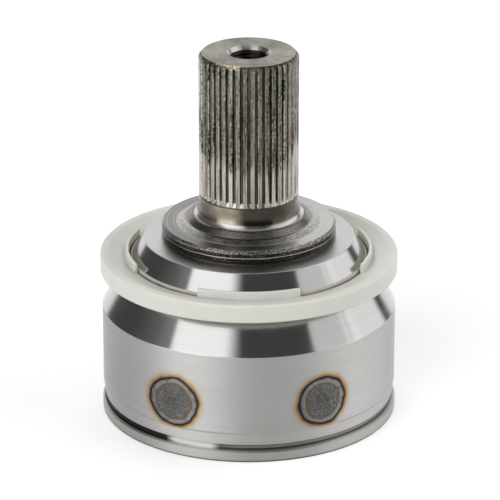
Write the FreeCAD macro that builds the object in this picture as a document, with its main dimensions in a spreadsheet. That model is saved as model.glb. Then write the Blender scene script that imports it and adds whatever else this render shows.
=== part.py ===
import FreeCAD, Part
import math
import os
import re

import Sketcher

# Fixed outer constant-velocity joint, six balls, wheel side.  Millimetres, +Z up the splined stub.
# The origin lies on the joint's axis in the plane of the mouth, so the bell stands on z = 0.

SIZES = {
    # Ball circle and tracks
    "pitch_radius": 34.0,          # axis to ball centre with the joint straight
    "ball_diameter": 20.64,
    "ball_count": 6,
    "track_offset": 3.2,           # track centres lie this far either side of the joint centre
    "track_gap": 0.25,             # ball to track, all round
    "joint_height": 22.0,          # joint centre above the mouth
    "track_start": 75.0,           # degrees an outer track sweeps from its centre towards the mouth
    "track_end": 47.0,             # and towards the closed end
    # Cage
    "cage_wall": 5.2,
    "cage_rim": 6.3,               # either side of the windows
    "cage_gap": 0.3,               # cage to housing and cage to inner race
    "cage_edge": 0.6,
    "window_play": 1.6,            # ball to window end, along the ball circle
    "window_gap": 0.35,            # ball to window side, along the axis
    "window_corner": 5.0,
    # Inner race
    "race_width": 24.0,
    "race_chamfer": 0.8,
    "race_edge": 0.6,
    "shaft_radius": 13.76,         # over the tips of the internal spline
    "shaft_tooth_depth": 1.2,
    "shaft_teeth": 27,
    "shaft_space_tip": 1.7,        # width of a tooth space at the bore
    "shaft_space_root": 0.9,
    "pilot_ease": 0.44,            # plain lead-in beyond the tooth roots
    "pilot_depth": 3.0,
    # Circlip in the inner race, at the closed end of the bore
    "clip_setback": 2.6,
    "clip_width": 1.8,
    "clip_bite": 1.6,              # groove beyond the tooth roots
    "clip_side_gap": 0.04,
    "clip_edge_gap": 0.1,
    "clip_clearance": 0.3,         # the relaxed clip stands clear of the bore
    "clip_opening": 24.0,          # degrees
    # Bell, from the mouth upwards
    "bell_wall": 6.02,             # metal outside the tracks
    "bell_height": 38.3,
    "mouth_land": 7.1,             # flat rim that the bell stands on
    "mouth_depth": 8.6,            # chamfer that lets the shaft swing
    "cavity_depth": 32.0,          # above the joint centre
    "flange_rise": 0.26,           # beyond the bell
    "flange_height": 3.6,
    "flange_edge": 0.4,
    "boot_groove_depth": 1.14,     # below the bell
    "boot_groove_slope": 0.8,
    "boot_groove_width": 1.2,
    "boot_land_depth": 0.69,       # below the bell at its low edge
    "boot_land_taper": 0.3,
    "boot_land_width": 3.6,
    "boot_land_edge": 0.6,
    "bell_foot": 0.9,
    "cone_height": 24.7,
    "cone_shelf": 6.24,            # flat round the collar
    "cone_edge": 0.5,
    # Collar that the wheel bearing seats on
    "neck_depth": 1.03,            # groove under the collar
    "neck_width": 1.0,
    "collar_width": 4.4,
    "collar_edge": 0.7,
    "seat_width": 5.03,            # flat that the bearing touches
    "seat_slope": 2.3,
    "relief_rise": 1.1,
    "relief_width": 1.3,
    "step_slope": 1.7,
    "step_rise": 1.7,
    "step_land": 0.05,
    "shank_fillet": 2.5,
    # Stub
    "shank_radius": 17.05,
    "stub_length": 60.7,           # from the bearing seat
    "stub_chamfer": 1.2,
    "spline_teeth": 42,
    "spline_depth": 0.95,
    "spline_space_tip": 1.6,       # width of a tooth space at the stub's surface
    "spline_space_root": 0.75,
    "spline_setback": 10.3,        # from the bearing seat
    "spline_runout": 1.5,
    "thread_core_diameter": 12.38,
    "thread_depth": 38.0,
    "countersink_diameter": 14.5,
    # Plastic shield ring pressed on the cone
    "shield_lift": 12.84,          # its low edge above the cone's foot
    "shield_height": 6.34,
    "shield_overhang": 0.59,       # beyond the bell
    "shield_edge": 0.9,
    "shield_land": 2.0,
    "shield_wall": 2.0,
    "shield_seat_width": 1.73,
    "shield_lip": 1.23,
    "shield_seat_gap": 0.05,
    "shield_foot_edge": 0.4,
    "tab_wall": 1.0,
    "tab_height": 3.35,
    "tab_edge": 0.25,
    "tab_root": 0.9,
    "tab_angle": 48.0,
    "tab_count": 4,
}

doc = FreeCAD.newDocument("cv_joint")
sheet = doc.addObject("Spreadsheet::Sheet", "Sizes")
for row, (name, size) in enumerate(SIZES.items(), start=1):
    sheet.set(f"A{row}", name)
    sheet.set(f"B{row}", str(size))
    sheet.setAlias(f"B{row}", name)
doc.recompute()


def bound(text):
    """Return an expression with every size name pointing at the sheet."""
    return re.sub(r"[a-z_]+", lambda word: f"Sizes.{word[0]}" if word[0] in SIZES else word[0], text)


def amount(text):
    """Return the present value of an expression."""
    return float(sheet.evalExpression(bound(text)))


def plane(body, role):
    """Return one of a body's own origin planes or axes."""
    return next(item for item in body.Origin.OriginFeatures if item.Role == role)


def new_body(name):
    body = doc.addObject("PartDesign::Body", name)
    body.Label = name
    return body


def new_sketch(body, name, role, lift=None):
    """Attach a sketch to a body's origin plane, raised along the plane's normal where lift is given."""
    sketch = body.newObject("Sketcher::SketchObject", name)
    sketch.AttachmentSupport = [(plane(body, role), "")]
    sketch.MapMode = "FlatFace"
    if lift:
        sketch.setExpression(".AttachmentOffset.Base.z", bound(lift))
    return sketch


def tie(sketch, kind, *where_and_text):
    """Add a constraint whose value follows the sheet."""
    *where, text = where_and_text
    index = sketch.addConstraint(Sketcher.Constraint(kind, *where, amount(text)))
    sketch.setExpression(f"Constraints[{index}]", bound(text))


def place_point(sketch, edge, end, across, up):
    """Tie a point's two coordinates; one that is left None is held by the arc it lies on."""
    if across == "0":
        sketch.addConstraint(Sketcher.Constraint("PointOnObject", edge, end, -2))
    elif across is not None:
        tie(sketch, "DistanceX", -1, 1, edge, end, across)
    if up is not None:
        tie(sketch, "DistanceY", -1, 1, edge, end, up)


def draw_outline(sketch, corners, arcs=None):
    """Draw a closed outline through corners given as (across, up) expressions.

    arcs maps a corner's number to the (up, radius) of the arc that leaves it, centred on the axis.
    A corner on an arc gives its height only.
    """
    arcs = arcs or {}
    count = len(corners)
    spots = []
    for number, (across, up) in enumerate(corners):
        height = amount(up)
        if across is None:
            centre, radius = arcs.get(number) or arcs[(number - 1) % count]
            reach = math.sqrt(amount(radius) ** 2 - (height - amount(centre)) ** 2)
        else:
            reach = amount(across)
        spots.append(FreeCAD.Vector(reach, height, 0))
    ends = []
    for number, start in enumerate(spots):
        finish = spots[(number + 1) % count]
        if number not in arcs:
            edge = sketch.addGeometry(Part.LineSegment(start, finish))
            ends.append((edge, 1, 2))
            continue
        centre, radius = arcs[number]
        middle = FreeCAD.Vector(0, amount(centre), 0)
        angles = [math.atan2(spot.y - middle.y, spot.x - middle.x) for spot in (start, finish)]
        forward = angles[1] > angles[0]
        circle = Part.Circle(middle, FreeCAD.Vector(0, 0, 1), amount(radius))
        edge = sketch.addGeometry(Part.ArcOfCircle(circle, min(angles), max(angles)))
        ends.append((edge, 1, 2) if forward else (edge, 2, 1))
        place_point(sketch, edge, 3, "0", centre)
        tie(sketch, "Radius", edge, radius)
    for number, (edge, first, last) in enumerate(ends):
        following = ends[(number + 1) % count]
        sketch.addConstraint(Sketcher.Constraint("Coincident", edge, last, following[0], following[1]))
        place_point(sketch, edge, first, *corners[number])


def draw_circle(sketch, across, radius):
    """Draw a circle centred on the sketch's own X axis."""
    centre = FreeCAD.Vector(amount(across), 0, 0)
    circle = sketch.addGeometry(Part.Circle(centre, FreeCAD.Vector(0, 0, 1), amount(radius)))
    sketch.addConstraint(Sketcher.Constraint("PointOnObject", circle, 3, -1))
    tie(sketch, "DistanceX", -1, 1, circle, 3, across)
    tie(sketch, "Radius", circle, radius)


def draw_rounded_window(sketch, half_width, low, high, corner):
    """Draw a rectangle with round corners, centred on the sketch's Y axis."""
    west, east = -amount(half_width), amount(half_width)
    south, north = amount(low), amount(high)
    radius = amount(corner)
    turns = [
        (east, north, -1, -1, f"{half_width} - {corner}", f"{high} - {corner}"),
        (west, north, 1, -1, f"-({half_width} - {corner})", f"{high} - {corner}"),
        (west, south, 1, 1, f"-({half_width} - {corner})", f"{low} + {corner}"),
        (east, south, -1, 1, f"{half_width} - {corner}", f"{low} + {corner}"),
    ]
    arcs = []
    centres = []
    for quarter, (across, up, inward, upward, across_text, up_text) in enumerate(turns):
        centre = FreeCAD.Vector(across + inward * radius, up + upward * radius, 0)
        circle = Part.Circle(centre, FreeCAD.Vector(0, 0, 1), radius)
        first = quarter * math.pi / 2
        arc = sketch.addGeometry(Part.ArcOfCircle(circle, first, first + math.pi / 2))
        place_point(sketch, arc, 3, across_text, up_text)
        tie(sketch, "Radius", arc, corner)
        arcs.append(arc)
        centres.append(centre)
    for quarter, arc in enumerate(arcs):
        following = (quarter + 1) % 4
        away = FreeCAD.Rotation(FreeCAD.Vector(0, 0, 1), 90 * (quarter + 1))
        reach = away.multVec(FreeCAD.Vector(radius, 0, 0))
        side = sketch.addGeometry(Part.LineSegment(centres[quarter] + reach, centres[following] + reach))
        sketch.addConstraint(Sketcher.Constraint("Tangent", arc, 2, side, 1))
        sketch.addConstraint(Sketcher.Constraint("Tangent", side, 2, arcs[following], 1))


def turn(body, kind, name, sketch, first=None, second=None):
    """Revolve a sketch about its own vertical axis, all round or by one or two angles."""
    feature = body.newObject(f"PartDesign::{kind}", name)
    feature.Profile = sketch
    feature.ReferenceAxis = (sketch, ["V_Axis"])
    feature.Angle = 360
    if first:
        feature.setExpression("Angle", bound(first))
    if second:
        feature.Type = "TwoAngles"
        feature.setExpression("Angle2", bound(second))
    elif first:
        feature.Midplane = True
    return finish_feature(body, feature, cuts=kind == "Groove")


def finish_feature(body, feature, cuts=False):
    """Rebuild after a feature, and stop if a cut took nothing away."""
    before = feature.BaseFeature.Shape.Volume if feature.BaseFeature else 0.0
    body.Tip = feature
    doc.recompute()
    if cuts and not feature.Shape.Volume < before:
        raise ValueError(f"{body.Label}: {feature.Name} cuts nothing")
    return feature


def repeat_round(body, name, feature, count):
    """Repeat a feature about the joint's axis."""
    pattern = body.newObject("PartDesign::PolarPattern", name)
    pattern.Originals = [feature]
    pattern.Axis = (plane(body, "Z_Axis"), [""])
    pattern.Angle = 360
    pattern.setExpression("Occurrences", bound(count))
    return finish_feature(body, pattern)


def rims(shape, spots):
    """Name the circular edges that lie at the given (radius, height) places."""
    found = []
    for radius, height in spots:
        for number, edge in enumerate(shape.Edges, start=1):
            curve = edge.Curve
            if not isinstance(curve, Part.Circle) or abs(curve.Axis.z) < 0.999:
                continue
            if abs(curve.Radius - amount(radius)) < 1e-4 and abs(curve.Center.z - amount(height)) < 1e-4:
                found.append(f"Edge{number}")
    return found


def round_rims(body, name, spots, radius):
    """Round the circular edges at the given places."""
    base = body.Tip
    edges = rims(base.Shape, spots)
    if len(edges) < len(spots):
        raise ValueError(f"{body.Label}: no edge for {name}")
    fillet = body.newObject("PartDesign::Fillet", name)
    fillet.Base = (base, edges)
    fillet.setExpression("Radius", bound(radius))
    return finish_feature(body, fillet)


# ---------------------------------------------------------------- sizes worked out from others

TRACK_RADIUS = "sqrt(pitch_radius^2 + track_offset^2)"
GROOVE_RADIUS = "(ball_diameter / 2 + track_gap)"
CAGE_INNER = "(pitch_radius - cage_wall / 2)"
CAGE_OUTER = "(pitch_radius + cage_wall / 2)"
RACE_LOW = "(joint_height - race_width / 2)"
RACE_HIGH = "(joint_height + race_width / 2)"
SHAFT_ROOT = "(shaft_radius + shaft_tooth_depth)"
CLIP_HIGH = f"({RACE_HIGH} - clip_setback)"
CLIP_LOW = f"({CLIP_HIGH} - clip_width)"
BELL_RADIUS = f"({TRACK_RADIUS} + {GROOVE_RADIUS} + bell_wall)"
FLANGE_RADIUS = f"({BELL_RADIUS} + flange_rise)"
CONE_TOP = "(bell_height + cone_height)"
STEP_RADIUS = "(shank_radius + shank_fillet + step_land)"
RELIEF_RADIUS = f"({STEP_RADIUS} + step_slope + relief_width)"
SEAT_RADIUS = f"({RELIEF_RADIUS} + seat_slope)"
COLLAR_RADIUS = f"({SEAT_RADIUS} + seat_width)"
CONE_TOP_RADIUS = f"({COLLAR_RADIUS} + cone_shelf)"
CONE_SLOPE = f"(({BELL_RADIUS} - {CONE_TOP_RADIUS}) / cone_height)"
COLLAR_HEIGHT = f"({CONE_TOP} + neck_width + collar_width)"
STUB_TOP = f"({COLLAR_HEIGHT} + stub_length)"
SHIELD_LOW = "(bell_height + shield_lift)"
SHIELD_HIGH = f"({SHIELD_LOW} + shield_height)"
SHIELD_RADIUS = f"({BELL_RADIUS} + shield_overhang)"
SHIELD_SEAT_RADIUS = f"({BELL_RADIUS} + shield_seat_gap - {CONE_SLOPE} * shield_lift)"
SHIELD_BORE = f"({SHIELD_SEAT_RADIUS} - shield_seat_width)"
SHIELD_SEAT_TOP = f"({SHIELD_LOW} + shield_seat_width / {CONE_SLOPE})"
SHIELD_LIP_TOP = f"({SHIELD_SEAT_TOP} + shield_lip)"


# ---------------------------------------------------------------- tracks and splines

def cut_tracks(body, height, first, second):
    """Cut the ball tracks: a round groove swept on an arc about (0, height), once per ball."""
    sketch = new_sketch(body, "track_section", "XY_Plane", height)
    draw_circle(sketch, TRACK_RADIUS, GROOVE_RADIUS)
    track = turn(body, "Groove", "track", sketch, first, second)
    repeat_round(body, "tracks", track, "ball_count")


def draw_space(body, name, height, near, near_width, far, far_width):
    """Draw the cross-section of one tooth space: a trapezium between two radii."""
    sketch = new_sketch(body, name, "XY_Plane", height)
    draw_outline(sketch, [
        (near, f"-({near_width}) / 2"),
        (far, f"-({far_width}) / 2"),
        (far, f"({far_width}) / 2"),
        (near, f"({near_width}) / 2"),
    ])
    return sketch


def cut_spaces(body, sections, count):
    """Loft one tooth space through its sections and repeat it round the axis."""
    space = body.newObject("PartDesign::SubtractiveLoft", "space")
    space.Profile = sections[0]
    space.Sections = sections[1:]
    space.Ruled = True
    finish_feature(body, space, cuts=True)
    repeat_round(body, "spaces", space, count)


# ---------------------------------------------------------------- pieces

def make_housing():
    """Bell, bearing collar and splined stub: one forging, machined all over."""
    body = new_body("housing")
    groove_low = "(flange_height + boot_groove_slope)"
    groove_high = f"({groove_low} + boot_groove_width)"
    land_low = f"({groove_high} + boot_land_edge)"
    land_high = f"({land_low} + boot_land_width)"
    neck_radius = f"({COLLAR_RADIUS} - neck_depth)"
    neck_high = f"({CONE_TOP} + neck_width)"
    relief_height = f"({COLLAR_HEIGHT} + relief_rise)"
    step_height = f"({relief_height} + step_rise)"
    profile = new_sketch(body, "profile", "XZ_Plane")
    draw_outline(profile, [
        ("0", "0"),
        (f"{FLANGE_RADIUS} - flange_edge", "0"),
        (FLANGE_RADIUS, "flange_edge"),
        (FLANGE_RADIUS, "flange_height"),
        (f"{BELL_RADIUS} - boot_groove_depth", groove_low),
        (f"{BELL_RADIUS} - boot_groove_depth", groove_high),
        (f"{BELL_RADIUS} - boot_land_depth", land_low),
        (f"{BELL_RADIUS} - boot_land_depth + boot_land_taper", land_high),
        (BELL_RADIUS, f"{land_high} + bell_foot"),
        (BELL_RADIUS, "bell_height"),
        (CONE_TOP_RADIUS, CONE_TOP),
        (neck_radius, CONE_TOP),
        (neck_radius, neck_high),
        (COLLAR_RADIUS, neck_high),
        (COLLAR_RADIUS, f"{COLLAR_HEIGHT} - collar_edge"),
        (f"{COLLAR_RADIUS} - collar_edge", COLLAR_HEIGHT),
        (SEAT_RADIUS, COLLAR_HEIGHT),
        (RELIEF_RADIUS, relief_height),
        (f"{STEP_RADIUS} + step_slope", relief_height),
        (STEP_RADIUS, step_height),
        ("shank_radius", step_height),
        ("shank_radius", f"{STUB_TOP} - stub_chamfer"),
        ("shank_radius - stub_chamfer", STUB_TOP),
        ("0", STUB_TOP),
    ])
    turn(body, "Revolution", "forging", profile)
    round_rims(body, "shank_root", [("shank_radius", step_height)], "shank_fillet")
    cone_rims = [(BELL_RADIUS, "bell_height"), (CONE_TOP_RADIUS, CONE_TOP)]
    round_rims(body, "cone_edges", cone_rims, "cone_edge")

    cavity = new_sketch(body, "cavity_section", "XZ_Plane")
    mouth_radius = f"{FLANGE_RADIUS} - mouth_land"
    floor = "joint_height + cavity_depth"
    draw_outline(
        cavity,
        [("0", "0"), (mouth_radius, "0"), (None, "mouth_depth"), (None, floor), ("0", floor)],
        arcs={2: ("joint_height", f"{CAGE_OUTER} + cage_gap")},
    )
    turn(body, "Groove", "cavity", cavity)
    cut_tracks(body, "joint_height - track_offset", "track_start", "track_end")

    full_depth = f"{COLLAR_HEIGHT} + spline_setback + spline_runout"
    outside = "shank_radius + spline_depth"
    flare = "2 * spline_space_tip - spline_space_root"
    sections = [
        draw_space(body, "space_top", f"{STUB_TOP} + spline_runout",
                   "shank_radius - spline_depth", "spline_space_root", outside, flare),
        draw_space(body, "space_full", full_depth,
                   "shank_radius - spline_depth", "spline_space_root", outside, flare),
        draw_space(body, "space_end", f"{COLLAR_HEIGHT} + spline_setback",
                   "shank_radius", "spline_space_root / 2", outside, "spline_space_tip"),
    ]
    cut_spaces(body, sections, "spline_teeth")

    mark = new_sketch(body, "bolt_hole_centre", "XY_Plane", STUB_TOP)
    circle = mark.addGeometry(Part.Circle(FreeCAD.Vector(), FreeCAD.Vector(0, 0, 1), 1.0))
    mark.addConstraint(Sketcher.Constraint("Coincident", circle, 3, -1, 1))
    tie(mark, "Diameter", circle, "thread_core_diameter")
    doc.recompute()
    hole = body.newObject("PartDesign::Hole", "hub_bolt_hole")
    hole.Profile = mark
    doc.recompute()
    hole.ThreadType = "None"
    hole.DepthType = "Dimension"
    hole.DrillPoint = "Angled"
    hole.HoleCutType = "Countersink"
    hole.setExpression("Diameter", bound("thread_core_diameter"))
    hole.setExpression("Depth", bound("thread_depth"))
    hole.setExpression("HoleCutDiameter", bound("countersink_diameter"))
    finish_feature(body, hole, cuts=True)
    return body


def make_dust_shield():
    """Moulded ring pressed on the bell's cone, with upright tabs at its inner edge."""
    body = new_body("dust_shield")
    rim_inner = f"({SHIELD_RADIUS} - shield_wall)"
    land_inner = f"({SHIELD_RADIUS} - shield_edge - shield_land)"
    skirt_outer = f"({SHIELD_SEAT_RADIUS} + shield_wall)"
    dish = f"(({SHIELD_HIGH} - {SHIELD_LIP_TOP}) / ({land_inner} - {SHIELD_BORE}))"
    skirt_under = f"({SHIELD_LIP_TOP} + {dish} * ({skirt_outer} - {SHIELD_BORE}) - shield_wall)"
    profile = new_sketch(body, "profile", "XZ_Plane")
    draw_outline(profile, [
        (SHIELD_SEAT_RADIUS, SHIELD_LOW),
        (skirt_outer, SHIELD_LOW),
        (skirt_outer, skirt_under),
        (rim_inner, f"{SHIELD_HIGH} - shield_wall"),
        (rim_inner, SHIELD_LOW),
        (SHIELD_RADIUS, SHIELD_LOW),
        (SHIELD_RADIUS, SHIELD_HIGH),
        (land_inner, SHIELD_HIGH),
        (SHIELD_BORE, SHIELD_LIP_TOP),
        (SHIELD_BORE, SHIELD_SEAT_TOP),
    ])
    turn(body, "Revolution", "ring", profile)
    round_rims(body, "rim_edge", [(SHIELD_RADIUS, SHIELD_HIGH)], "shield_edge")
    round_rims(body, "foot_edge", [(SHIELD_RADIUS, SHIELD_LOW)], "shield_foot_edge")

    tab_outer = f"({SHIELD_BORE} + tab_wall)"
    tab_top = f"({SHIELD_LIP_TOP} + tab_height)"
    tab_foot = f"({SHIELD_LIP_TOP} + {dish} * tab_wall)"
    upright = new_sketch(body, "tab_section", "YZ_Plane")
    draw_outline(upright, [
        (SHIELD_BORE, SHIELD_SEAT_TOP),
        (tab_outer, SHIELD_SEAT_TOP),
        (f"{tab_outer} + tab_root", f"{tab_foot} + {dish} * tab_root"),
        (tab_outer, f"{tab_foot} + tab_root"),
        (tab_outer, f"{tab_top} - tab_edge"),
        (f"{tab_outer} - tab_edge", tab_top),
        (SHIELD_BORE, tab_top),
    ])
    tab = turn(body, "Revolution", "tab", upright, "tab_angle")
    repeat_round(body, "tabs", tab, "tab_count")
    return body


def make_cage():
    """Spherical ring that holds the balls in the plane that halves the joint's angle."""
    body = new_body("cage")
    window_low = "(joint_height - ball_diameter / 2 - window_gap)"
    window_high = "(joint_height + ball_diameter / 2 + window_gap)"
    low, high = f"{window_low} - cage_rim", f"{window_high} + cage_rim"
    profile = new_sketch(body, "profile", "XZ_Plane")
    draw_outline(
        profile,
        [(None, low), (None, low), (None, high), (None, high)],
        arcs={1: ("joint_height", CAGE_OUTER), 3: ("joint_height", CAGE_INNER)},
    )
    turn(body, "Revolution", "ring", profile)
    half_width = "(ball_diameter / 2 + window_gap + cage_rim)"
    end_radius = f"sqrt({CAGE_OUTER}^2 - {half_width}^2)"
    round_rims(body, "end_edges", [(end_radius, low), (end_radius, high)], "cage_edge")

    opening = new_sketch(body, "window_section", "YZ_Plane")
    half_opening = "(ball_diameter / 2 + window_play)"
    draw_rounded_window(opening, half_opening, window_low, window_high, "window_corner")
    window = body.newObject("PartDesign::Pocket", "window")
    window.Profile = opening
    window.Type = "Length"
    window.Reversed = True
    window.setExpression("Length", bound(f"{CAGE_OUTER} + cage_wall"))
    finish_feature(body, window, cuts=True)
    repeat_round(body, "windows", window, "ball_count")
    return body


def make_inner_race():
    """Star that the shaft plugs into, with a track for each ball and a splined bore."""
    body = new_body("inner_race")
    pilot_radius = f"({SHAFT_ROOT} + pilot_ease)"
    groove_radius = f"({SHAFT_ROOT} + clip_bite)"
    profile = new_sketch(body, "profile", "XZ_Plane")
    draw_outline(
        profile,
        [
            (pilot_radius, RACE_LOW),
            (None, RACE_LOW),
            (None, RACE_HIGH),
            (f"{SHAFT_ROOT} + race_chamfer", RACE_HIGH),
            ("shaft_radius", f"{RACE_HIGH} - race_chamfer - shaft_tooth_depth"),
            ("shaft_radius", CLIP_HIGH),
            (groove_radius, CLIP_HIGH),
            (groove_radius, CLIP_LOW),
            ("shaft_radius", CLIP_LOW),
            ("shaft_radius", f"{RACE_LOW} + pilot_depth + {pilot_radius} - shaft_radius"),
            (pilot_radius, f"{RACE_LOW} + pilot_depth"),
        ],
        arcs={1: ("joint_height", f"{CAGE_INNER} - cage_gap")},
    )
    turn(body, "Revolution", "star", profile)
    end_radius = f"sqrt(({CAGE_INNER} - cage_gap)^2 - (race_width / 2)^2)"
    round_rims(body, "end_edges", [(end_radius, RACE_LOW), (end_radius, RACE_HIGH)], "race_edge")
    cut_tracks(body, "joint_height + track_offset", "track_end", "track_end")

    inside = "shaft_radius - shaft_tooth_depth"
    flare = "2 * shaft_space_tip - shaft_space_root"
    sections = [
        draw_space(body, name, height, inside, flare, SHAFT_ROOT, "shaft_space_root")
        for name, height in (("space_low", RACE_LOW), ("space_high", RACE_HIGH))
    ]
    cut_spaces(body, sections, "shaft_teeth")
    return body


def make_circlip():
    """Open ring in the inner race's groove, which snaps into the shaft."""
    body = new_body("circlip")
    inner = "(shaft_radius + clip_clearance)"
    outer = f"({SHAFT_ROOT} + clip_bite - clip_edge_gap)"
    low, high = f"{CLIP_LOW} + clip_side_gap", f"{CLIP_HIGH} - clip_side_gap"
    section = new_sketch(body, "section", "XZ_Plane")
    draw_outline(section, [(inner, low), (outer, low), (outer, high), (inner, high)])
    turn(body, "Revolution", "ring", section, "360 - clip_opening")
    return body


def make_ball(number):
    """One ball, centred in its window with the joint straight."""
    ball = doc.addObject("Part::Sphere", f"ball_{number}")
    ball.Label = f"ball_{number}"
    ball.setExpression("Radius", bound("ball_diameter / 2"))
    angle = f"(360 deg * {number - 1} / ball_count)"
    ball.setExpression("Placement.Base.x", bound(f"pitch_radius * cos({angle})"))
    ball.setExpression("Placement.Base.y", bound(f"pitch_radius * sin({angle})"))
    ball.setExpression("Placement.Base.z", bound("joint_height"))
    return ball


pieces = [make_housing(), make_dust_shield(), make_cage(), make_inner_race(), make_circlip()]
for number in range(1, SIZES["ball_count"] + 1):
    pieces.append(make_ball(number))
doc.recompute()

for item in doc.Objects:
    if {"Invalid", "Error"} & set(item.State):
        raise ValueError(f"{item.Name} did not build: {item.State}")
for piece in pieces:
    shape = piece.Shape
    if shape.isNull() or not shape.isValid() or len(shape.Solids) != 1:
        raise ValueError(f"{piece.Label} is not one sound solid")

os.makedirs("parts", exist_ok=True)
for piece in pieces:
    piece.Shape.exportStep(f"parts/{piece.Label}.step")
    print(f"{piece.Label}: {piece.Shape.Volume / 1000:.2f} cm3")
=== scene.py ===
import math

import bmesh
import bpy
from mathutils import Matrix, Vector


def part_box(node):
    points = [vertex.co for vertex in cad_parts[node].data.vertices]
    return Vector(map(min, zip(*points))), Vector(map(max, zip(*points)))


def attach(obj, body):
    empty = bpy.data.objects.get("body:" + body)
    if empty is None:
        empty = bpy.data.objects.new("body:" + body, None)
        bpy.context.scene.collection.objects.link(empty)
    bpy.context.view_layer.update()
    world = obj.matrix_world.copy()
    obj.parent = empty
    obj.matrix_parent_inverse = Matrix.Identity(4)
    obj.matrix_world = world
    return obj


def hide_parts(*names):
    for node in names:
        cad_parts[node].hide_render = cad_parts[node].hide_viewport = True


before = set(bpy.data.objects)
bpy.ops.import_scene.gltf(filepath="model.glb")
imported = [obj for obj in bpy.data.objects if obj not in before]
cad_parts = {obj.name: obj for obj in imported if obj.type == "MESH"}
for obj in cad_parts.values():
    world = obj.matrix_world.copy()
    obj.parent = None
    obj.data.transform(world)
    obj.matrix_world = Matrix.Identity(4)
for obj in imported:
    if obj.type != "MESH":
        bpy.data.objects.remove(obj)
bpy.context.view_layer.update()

bl_info = {
    "name": "CV joint dressing",
    "version": (1, 0, 0),
    "blender": (4, 5, 0),
    "location": "View3D > Sidebar > CV Joint",
    "description": "Turned, splined and moulded pieces, finishes and studio for an outer CV joint",
    "category": "Object",
}

MM = 0.001
HOUSING_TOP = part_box("housing")[1].z / MM
HOUSING_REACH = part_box("housing")[1].x / MM
SHIELD_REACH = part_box("dust_shield")[1].x / MM
JOINT_CENTRE = sum(corner.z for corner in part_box("cage")) / 2 / MM
TRACKS = 6
# Millimetres from the joint's centre: where the cage's ground spheres and its end faces begin
CAGE_INNER, CAGE_OUTER, CAGE_HALF = 31.5, 36.4, 16.6
# Millimetres: the inner race's ground sphere, its end faces and the edge of its bore
RACE_REACH, RACE_HALF, SHAFT_REACH = 31.0, 11.9, 17.5
SKIN_DEPTH = 3.0  # millimetres: every inner face of the bell lies deeper than this under its outside
JOIN = 2e-6  # metres: points closer than this become one
WHITE = (1.0, 1.0, 1.0, 1.0)
FLOOR_HALF, PANEL_DISTANCE, PANEL_AIM = 6.0, 1.5, 0.05  # metres


# ---------------------------------------------------------------- settings

def size(default, description):
    """A length in millimetres that the panel shows."""
    return bpy.props.FloatProperty(default=default, description=description, min=0.0, precision=2)


def count(default, description):
    return bpy.props.IntProperty(default=default, description=description, min=1)


def share(default, description):
    return bpy.props.FloatProperty(
        default=default, description=description, min=0.0, max=1.0, subtype="FACTOR"
    )


def power(default, description):
    return bpy.props.FloatProperty(default=default, description=description, min=0.0, unit="POWER")


def colour(default, description):
    return bpy.props.FloatVectorProperty(
        default=default, description=description, size=3, min=0.0, max=1.0, subtype="COLOR"
    )


def angle(default, description):
    return bpy.props.FloatProperty(
        default=math.radians(default), description=description, subtype="ANGLE", unit="ROTATION"
    )


class BellSizes(bpy.types.PropertyGroup):
    columns: count(336, "Faces round the turned outside")
    flange_radius: size(HOUSING_REACH, "Radius of the rim round the mouth")
    flange_height: size(3.6, "Height of the rim round the mouth")
    flange_edge: size(0.4, "Chamfer on the rim's corner at the mouth")
    bell_radius: size(HOUSING_REACH - 0.26, "Radius of the bell's straight side")
    bell_height: size(38.3, "Height at which the cone begins")
    groove_depth: size(1.14, "Depth of the boot's groove below the bell")
    groove_low: size(4.4, "Height of the groove's lower corner")
    groove_high: size(5.6, "Height of the groove's upper corner")
    land_low: size(6.2, "Height at which the boot's land begins")
    land_high: size(9.8, "Height at which the boot's land ends")
    land_depth: size(0.69, "Depth of the boot's land at its lower edge")
    land_taper: size(0.3, "How much the land widens upwards")
    foot: size(0.9, "Height of the slope between the land and the bell's side")
    cone_top: size(63.0, "Height of the flat shelf round the collar")
    cone_top_radius: size(36.17, "Outer radius of the shelf")


class StubSizes(bpy.types.PropertyGroup):
    neck_radius: size(28.9, "Radius of the groove under the collar")
    neck_high: size(64.0, "Height of the collar's underside")
    collar_radius: size(29.93, "Radius of the bearing collar")
    collar_height: size(68.4, "Height of the bearing seat")
    collar_edge: size(0.7, "Chamfer on the collar")
    seat_radius: size(24.9, "Inner radius of the bearing seat")
    relief_radius: size(22.6, "Outer radius of the ring above the seat")
    relief_height: size(69.5, "Height of the ring above the seat")
    relief_inner: size(21.3, "Inner radius of the ring above the seat")
    step_radius: size(19.6, "Radius of the step at the shank's root")
    step_height: size(71.2, "Height of the step at the shank's root")
    root_fillet: size(2.5, "Width of the fillet between the step and the shank")
    root_rise: size(5.2, "Height of the fillet between the step and the shank")
    shank_radius: size(17.05, "Radius over the spline's teeth")
    top: size(HOUSING_TOP, "Height of the stub's end")
    chamfer: size(1.2, "Chamfer on the stub's end")
    teeth: count(42, "Teeth round the stub")
    tooth_depth: size(0.95, "Depth of a tooth space")
    space_tip: size(1.3, "Width of a tooth space at the stub's surface")
    space_root: size(0.55, "Width of a tooth space at its bottom")
    tooth_round: size(0.09, "Rounding of a tooth's corners")
    spline_low: size(78.7, "Height at which the tooth spaces run out")
    runout: size(1.5, "Length over which a tooth space runs out")
    bore_radius: size(6.19, "Radius inside the hub bolt's thread")
    bore_depth: size(38.0, "Depth of the hub bolt's hole")
    thread_radius: size(6.98, "Radius at the bottom of the thread")
    thread_pitch: size(1.5, "Rise of one thread turn")
    countersink_radius: size(7.5, "Radius of the hole's countersink")


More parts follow.
